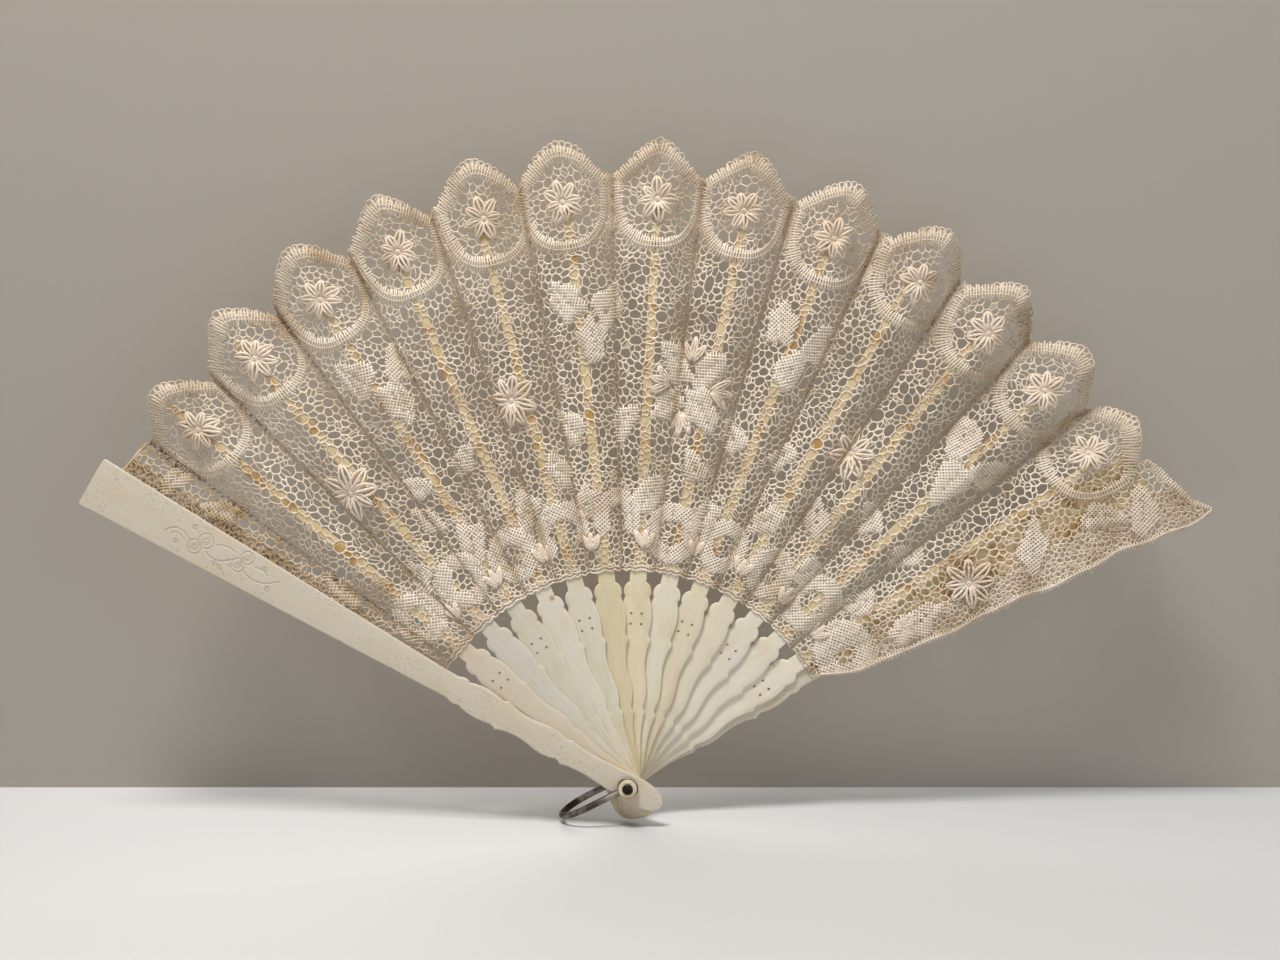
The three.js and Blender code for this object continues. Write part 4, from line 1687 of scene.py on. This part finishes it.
def addEndBorders():
    level = lace["frontCorner"] - pattern["frontBelow"]
    front = [clothPoint(toCloth(angle), level) for angle in np.linspace(*pattern["frontEdge"])]
    addCord(front, pattern["frontCord"], pattern["cordRise"], pattern["cordHeight"], clothKind)
    addPicots(front[::-1], picot["pitch"])
    run = np.linspace(*pattern["rearRun"])
    rear = [clothPoint(toCloth(float(rearLimit(radius))), radius) for radius in run]
    addTape(rear, pattern["rearTape"])
    addCord(rear, *pattern["rearCord"], clothKind)
    ends = [toCloth(angle) for angle in np.linspace(*pattern["cornerRun"])]
    corner = [clothPoint(angle, scallopEdge(angle)) for angle in ends]
    addTape(corner, pattern["cornerTape"])
    addPicots(corner[::-1], picot["pitch"])


def makeBorders():
    for index in range(fan["stickCount"]):
        addMedallion(index)
    addGorgeCords()
    addEndBorders()


def unitAngle(unit):
    return clothSticks[0] + clothPitch * (gorgeUnit["start"] - gorgeUnit["pitch"] * unit)


def ringPlace(lean, out):
    # cloth angle and radius of a place out from the middle of the ring
    angle, radius = pattern["ringMiddle"]
    x, z = clothPoint(toCloth(angle), radius)
    turn = math.radians(lean)
    return clothPolar(x + out * math.cos(turn), z + out * math.sin(turn))


def planGorgeUnit(unit):
    angle = unitAngle(unit)
    sway, leafSway = gorgeUnit["sway"], gorgeUnit["leafSway"]
    radius, tall, band = gorgeUnit["scroll"]
    gap = chance.choice((0, 0, chance.uniform(*gorgeUnit["scrollGap"])))
    place = radius + chance.uniform(-sway, sway)
    planScroll(angle, place, tall, chance.uniform(*gorgeUnit["scrollWide"]), band, gap)
    place = gorgeUnit["leafRadius"] + chance.uniform(-leafSway, leafSway)
    planToile(angle - clothPitch * gorgeUnit["aside"], place, *gorgeUnit["leaf"])
    if unit % 2:
        place = gorgeUnit["overRadius"] + chance.uniform(-sway, sway)
        planToile(angle - clothPitch * gorgeUnit["overAside"], place, *gorgeUnit["over"])


def planSprays():
    # woven patches: a trefoil between every two flowers, a ring of lobes at the middle, and the lower border
    for angle in pattern["trefoils"]:
        for aside, *leaf in pattern["trefoilLeaves"]:
            planToile(toCloth(angle) + aside, *leaf)
    out, *leafSize = pattern["ringLeaf"]
    for lean in pattern["ringLeaves"]:
        angle, radius = ringPlace(lean, out)
        planToile(angle, radius, lean - angle, *leafSize)
    for index in range(fan["stickCount"] - 1):
        planGusset(index)
    for unit in range(gorgeUnit["count"]):
        planGorgeUnit(unit)
    for angle, radius, lean in pattern["frontLeaves"]:
        planToile(toCloth(angle), radius, lean, *pattern["frontLeaf"])
    angle, *scroll = pattern["rearScroll"]
    planScroll(toCloth(angle), *scroll)
    for angle, radius, lean in pattern["rearLeaves"]:
        planToile(toCloth(angle), radius, lean, *pattern["rearLeaf"])


def makeSprays():
    for toile in toiles:
        addToile(toile)
    addDoubled(toCloth(lace["hemAngle"] - 1), pattern["hemStart"], inHem)
    addDoubled(toCloth(lace["glueAngle"]), pattern["glueStart"], underGuard)
    for angle in pattern["flowers"]:
        addFlower(toCloth(angle), *pattern["flower"])
    out, *budSize = pattern["ringBud"]
    for lean in pattern["ringBuds"]:
        angle, radius = ringPlace(lean, out)
        addBuds(angle, radius, lean - angle, *budSize)
    for unit in range(gorgeUnit["count"]):
        addBuds(unitAngle(unit) - clothPitch * gorgeUnit["aside"], *gorgeUnit["buds"])


# how the lace is darkened, by soiling and by painted shade: where it begins, over how much, and how far
soilAndShade = {
    "creaseLeft": (0.55, 1.3),          # painted crease shade with soiling: of the fall on a crease's left side, and its gain
    "creaseSoilAndShade": (0.3, 2),             # painted shade with soiling deep in the crease: most of it, and its gain
    "scallops": (194, 30, 0.58),        # darker towards the scallops: millimetres from the rivet
    "rearHemSoilAndShade": (0.6, 1.5, 0.25),        # painted shade with soiling on the doubled rear end: degrees past the hem
    "frontEndShade": (139, 6, 0.75),         # painted shade of the first fold at the front end: degrees
    "glueStrip": (0.5, 1.6),            # most of it, and its gain
    "most": 1.8,
}


def soilingAndShade(radius, angle, fall, off):
    # painted shade with soiling: the right flank of each pleat takes the whole fall, the left side only its
    # deep part
    start, gain = soilAndShade["creaseLeft"]
    soiledAndShaded = np.where(off > 0, fall, np.clip(fall - start, 0, 1) * gain)
    start, over, gain = soilAndShade["scallops"]
    soiledAndShaded = soiledAndShaded + np.clip((radius - start) / over, 0, 1) * gain
    past, over, gain = soilAndShade["rearHemSoilAndShade"]
    soiledAndShaded = soiledAndShaded + np.clip((lace["hemAngle"] + past - angle) / over, 0, 1) * gain
    start, over, gain = soilAndShade["frontEndShade"]
    soiledAndShaded = soiledAndShaded + np.clip((angle - start) / over, 0, 1) * gain
    most, gain = soilAndShade["creaseSoilAndShade"]
    soiledAndShaded = soiledAndShaded + np.clip(fall - pleat["creaseShare"], 0, most) * gain
    most, gain = soilAndShade["glueStrip"]
    soiledAndShaded = soiledAndShaded + np.clip(1.0 - np.abs(angle - lace["glueAngle"]), 0, most) * gain
    return np.clip(soiledAndShaded, 0, soilAndShade["most"]).astype(np.float32)


def pleatedPoints(flat, angle, radius, count, depth):
    # flat cloth to the open fan, kept behind the front guard's plate
    height = flat[:, 2]
    limit = np.where(count < pleat["guardFrom"], pleat["guardBack"], np.inf)
    front = np.minimum(depth + height, limit + np.minimum(height, 0) * pleat["guardPress"])
    turn = np.radians(angle)
    return np.stack([radius * np.cos(turn), -front, radius * np.sin(turn)], axis=1) * mm


def buildCloth(index, materials):
    node, body, _ = pieces[index]
    cloth = cloths[index]
    flat = np.array(cloth["points"])
    radius = np.hypot(flat[:, 0], flat[:, 1])
    angle = toFan(np.degrees(np.arctan2(flat[:, 1], flat[:, 0])))
    count, fall, off, depth = pleatAt(angle, radius)
    points = pleatedPoints(flat, angle, radius, count, depth)
    mesh = bpy.data.meshes.new(node + "_lace")
    mesh.from_pydata(points.tolist(), [], cloth["faces"])
    mesh.polygons.foreach_set("material_index", cloth["kinds"])
    mesh.polygons.foreach_set("use_smooth", [True] * len(cloth["faces"]))
    # soiling and painted shade, kept per point for the lace's tone
    ageAndShade = mesh.attributes.new("ageAndShade", "FLOAT", "POINT")
    ageAndShade.data.foreach_set("value", soilingAndShade(radius, angle, fall, off))
    for material in materials:
        mesh.materials.append(material)
    piece = bpy.data.objects.new(node + "_lace", mesh)
    bpy.context.scene.collection.objects.link(piece)
    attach(piece, body)
    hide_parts(node)
    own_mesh(piece)
    return len(mesh.polygons)


def laceMaterial(name, pale, agedAndShaded, sheen):
    material, tree, surface = shaderTree(name)
    place = objectPlace(tree)
    stain = eased(tree, noise(tree, place, *lace["stain"]), *lace["stained"])
    # the attribute carries soiling, and painted shade in the creases and at the ends
    both = combine(tree, "ADD", attributeValue(tree, "ageAndShade"), stain)
    tone = blend(tree, combine(tree, "MULTIPLY", both, lace["ageShadeShare"], clamp=True), pale, agedAndShaded)
    fibre = noise(tree, place, *lace["fibre"])
    cloth = tree.nodes.new("ShaderNodeMix")
    cloth.data_type = "RGBA"
    cloth.blend_type = "MULTIPLY"
    cloth.inputs["Factor"].default_value = 1
    tree.links.new(tone, cloth.inputs["A"])
    tree.links.new(spread(tree, fibre, *lace["fibreTone"]), cloth.inputs["B"])
    tree.links.new(cloth.outputs["Result"], surface.inputs["Base Color"])
    surface.inputs["Roughness"].default_value = lace["roughness"]
    surface.inputs["Specular IOR Level"].default_value = lace["specular"]
    surface.inputs["Sheen Weight"].default_value = sheen
    addBump(tree, surface, fibre, *lace["bump"])
    return material


def makeLeaf():
    planSprays()
    makeNet()
    makeBorders()
    makeSprays()
    materials = [laceMaterial(name, *finish) for name, finish in lace["finishes"].items()]
    total = sum(buildCloth(index, materials) for index in range(len(pieces)))
    print("leaf:", len(pieces), "pieces,", total, "faces")


setStage()
for stickIndex in range(fan["stickCount"]):
    makeStick(stickIndex)
makeGuard("front_guard", fan["frontGuard"], bone["frontHead"], True)
makeGuard("rear_guard", fan["rearGuard"], bone["rearHead"], False)
print("bone: sticks and guards carved")
makePin()
washerBone = boneMaterial("washerBone", rivet["washerTint"], bone["grainShift"]["washer"], False)
makeWasher("front_washer", 1, washerBone)
makeWasher("rear_washer", -1, washerBone)
makeLoop()
print("rivet: pin, washers and loop made")
makeLeaf()
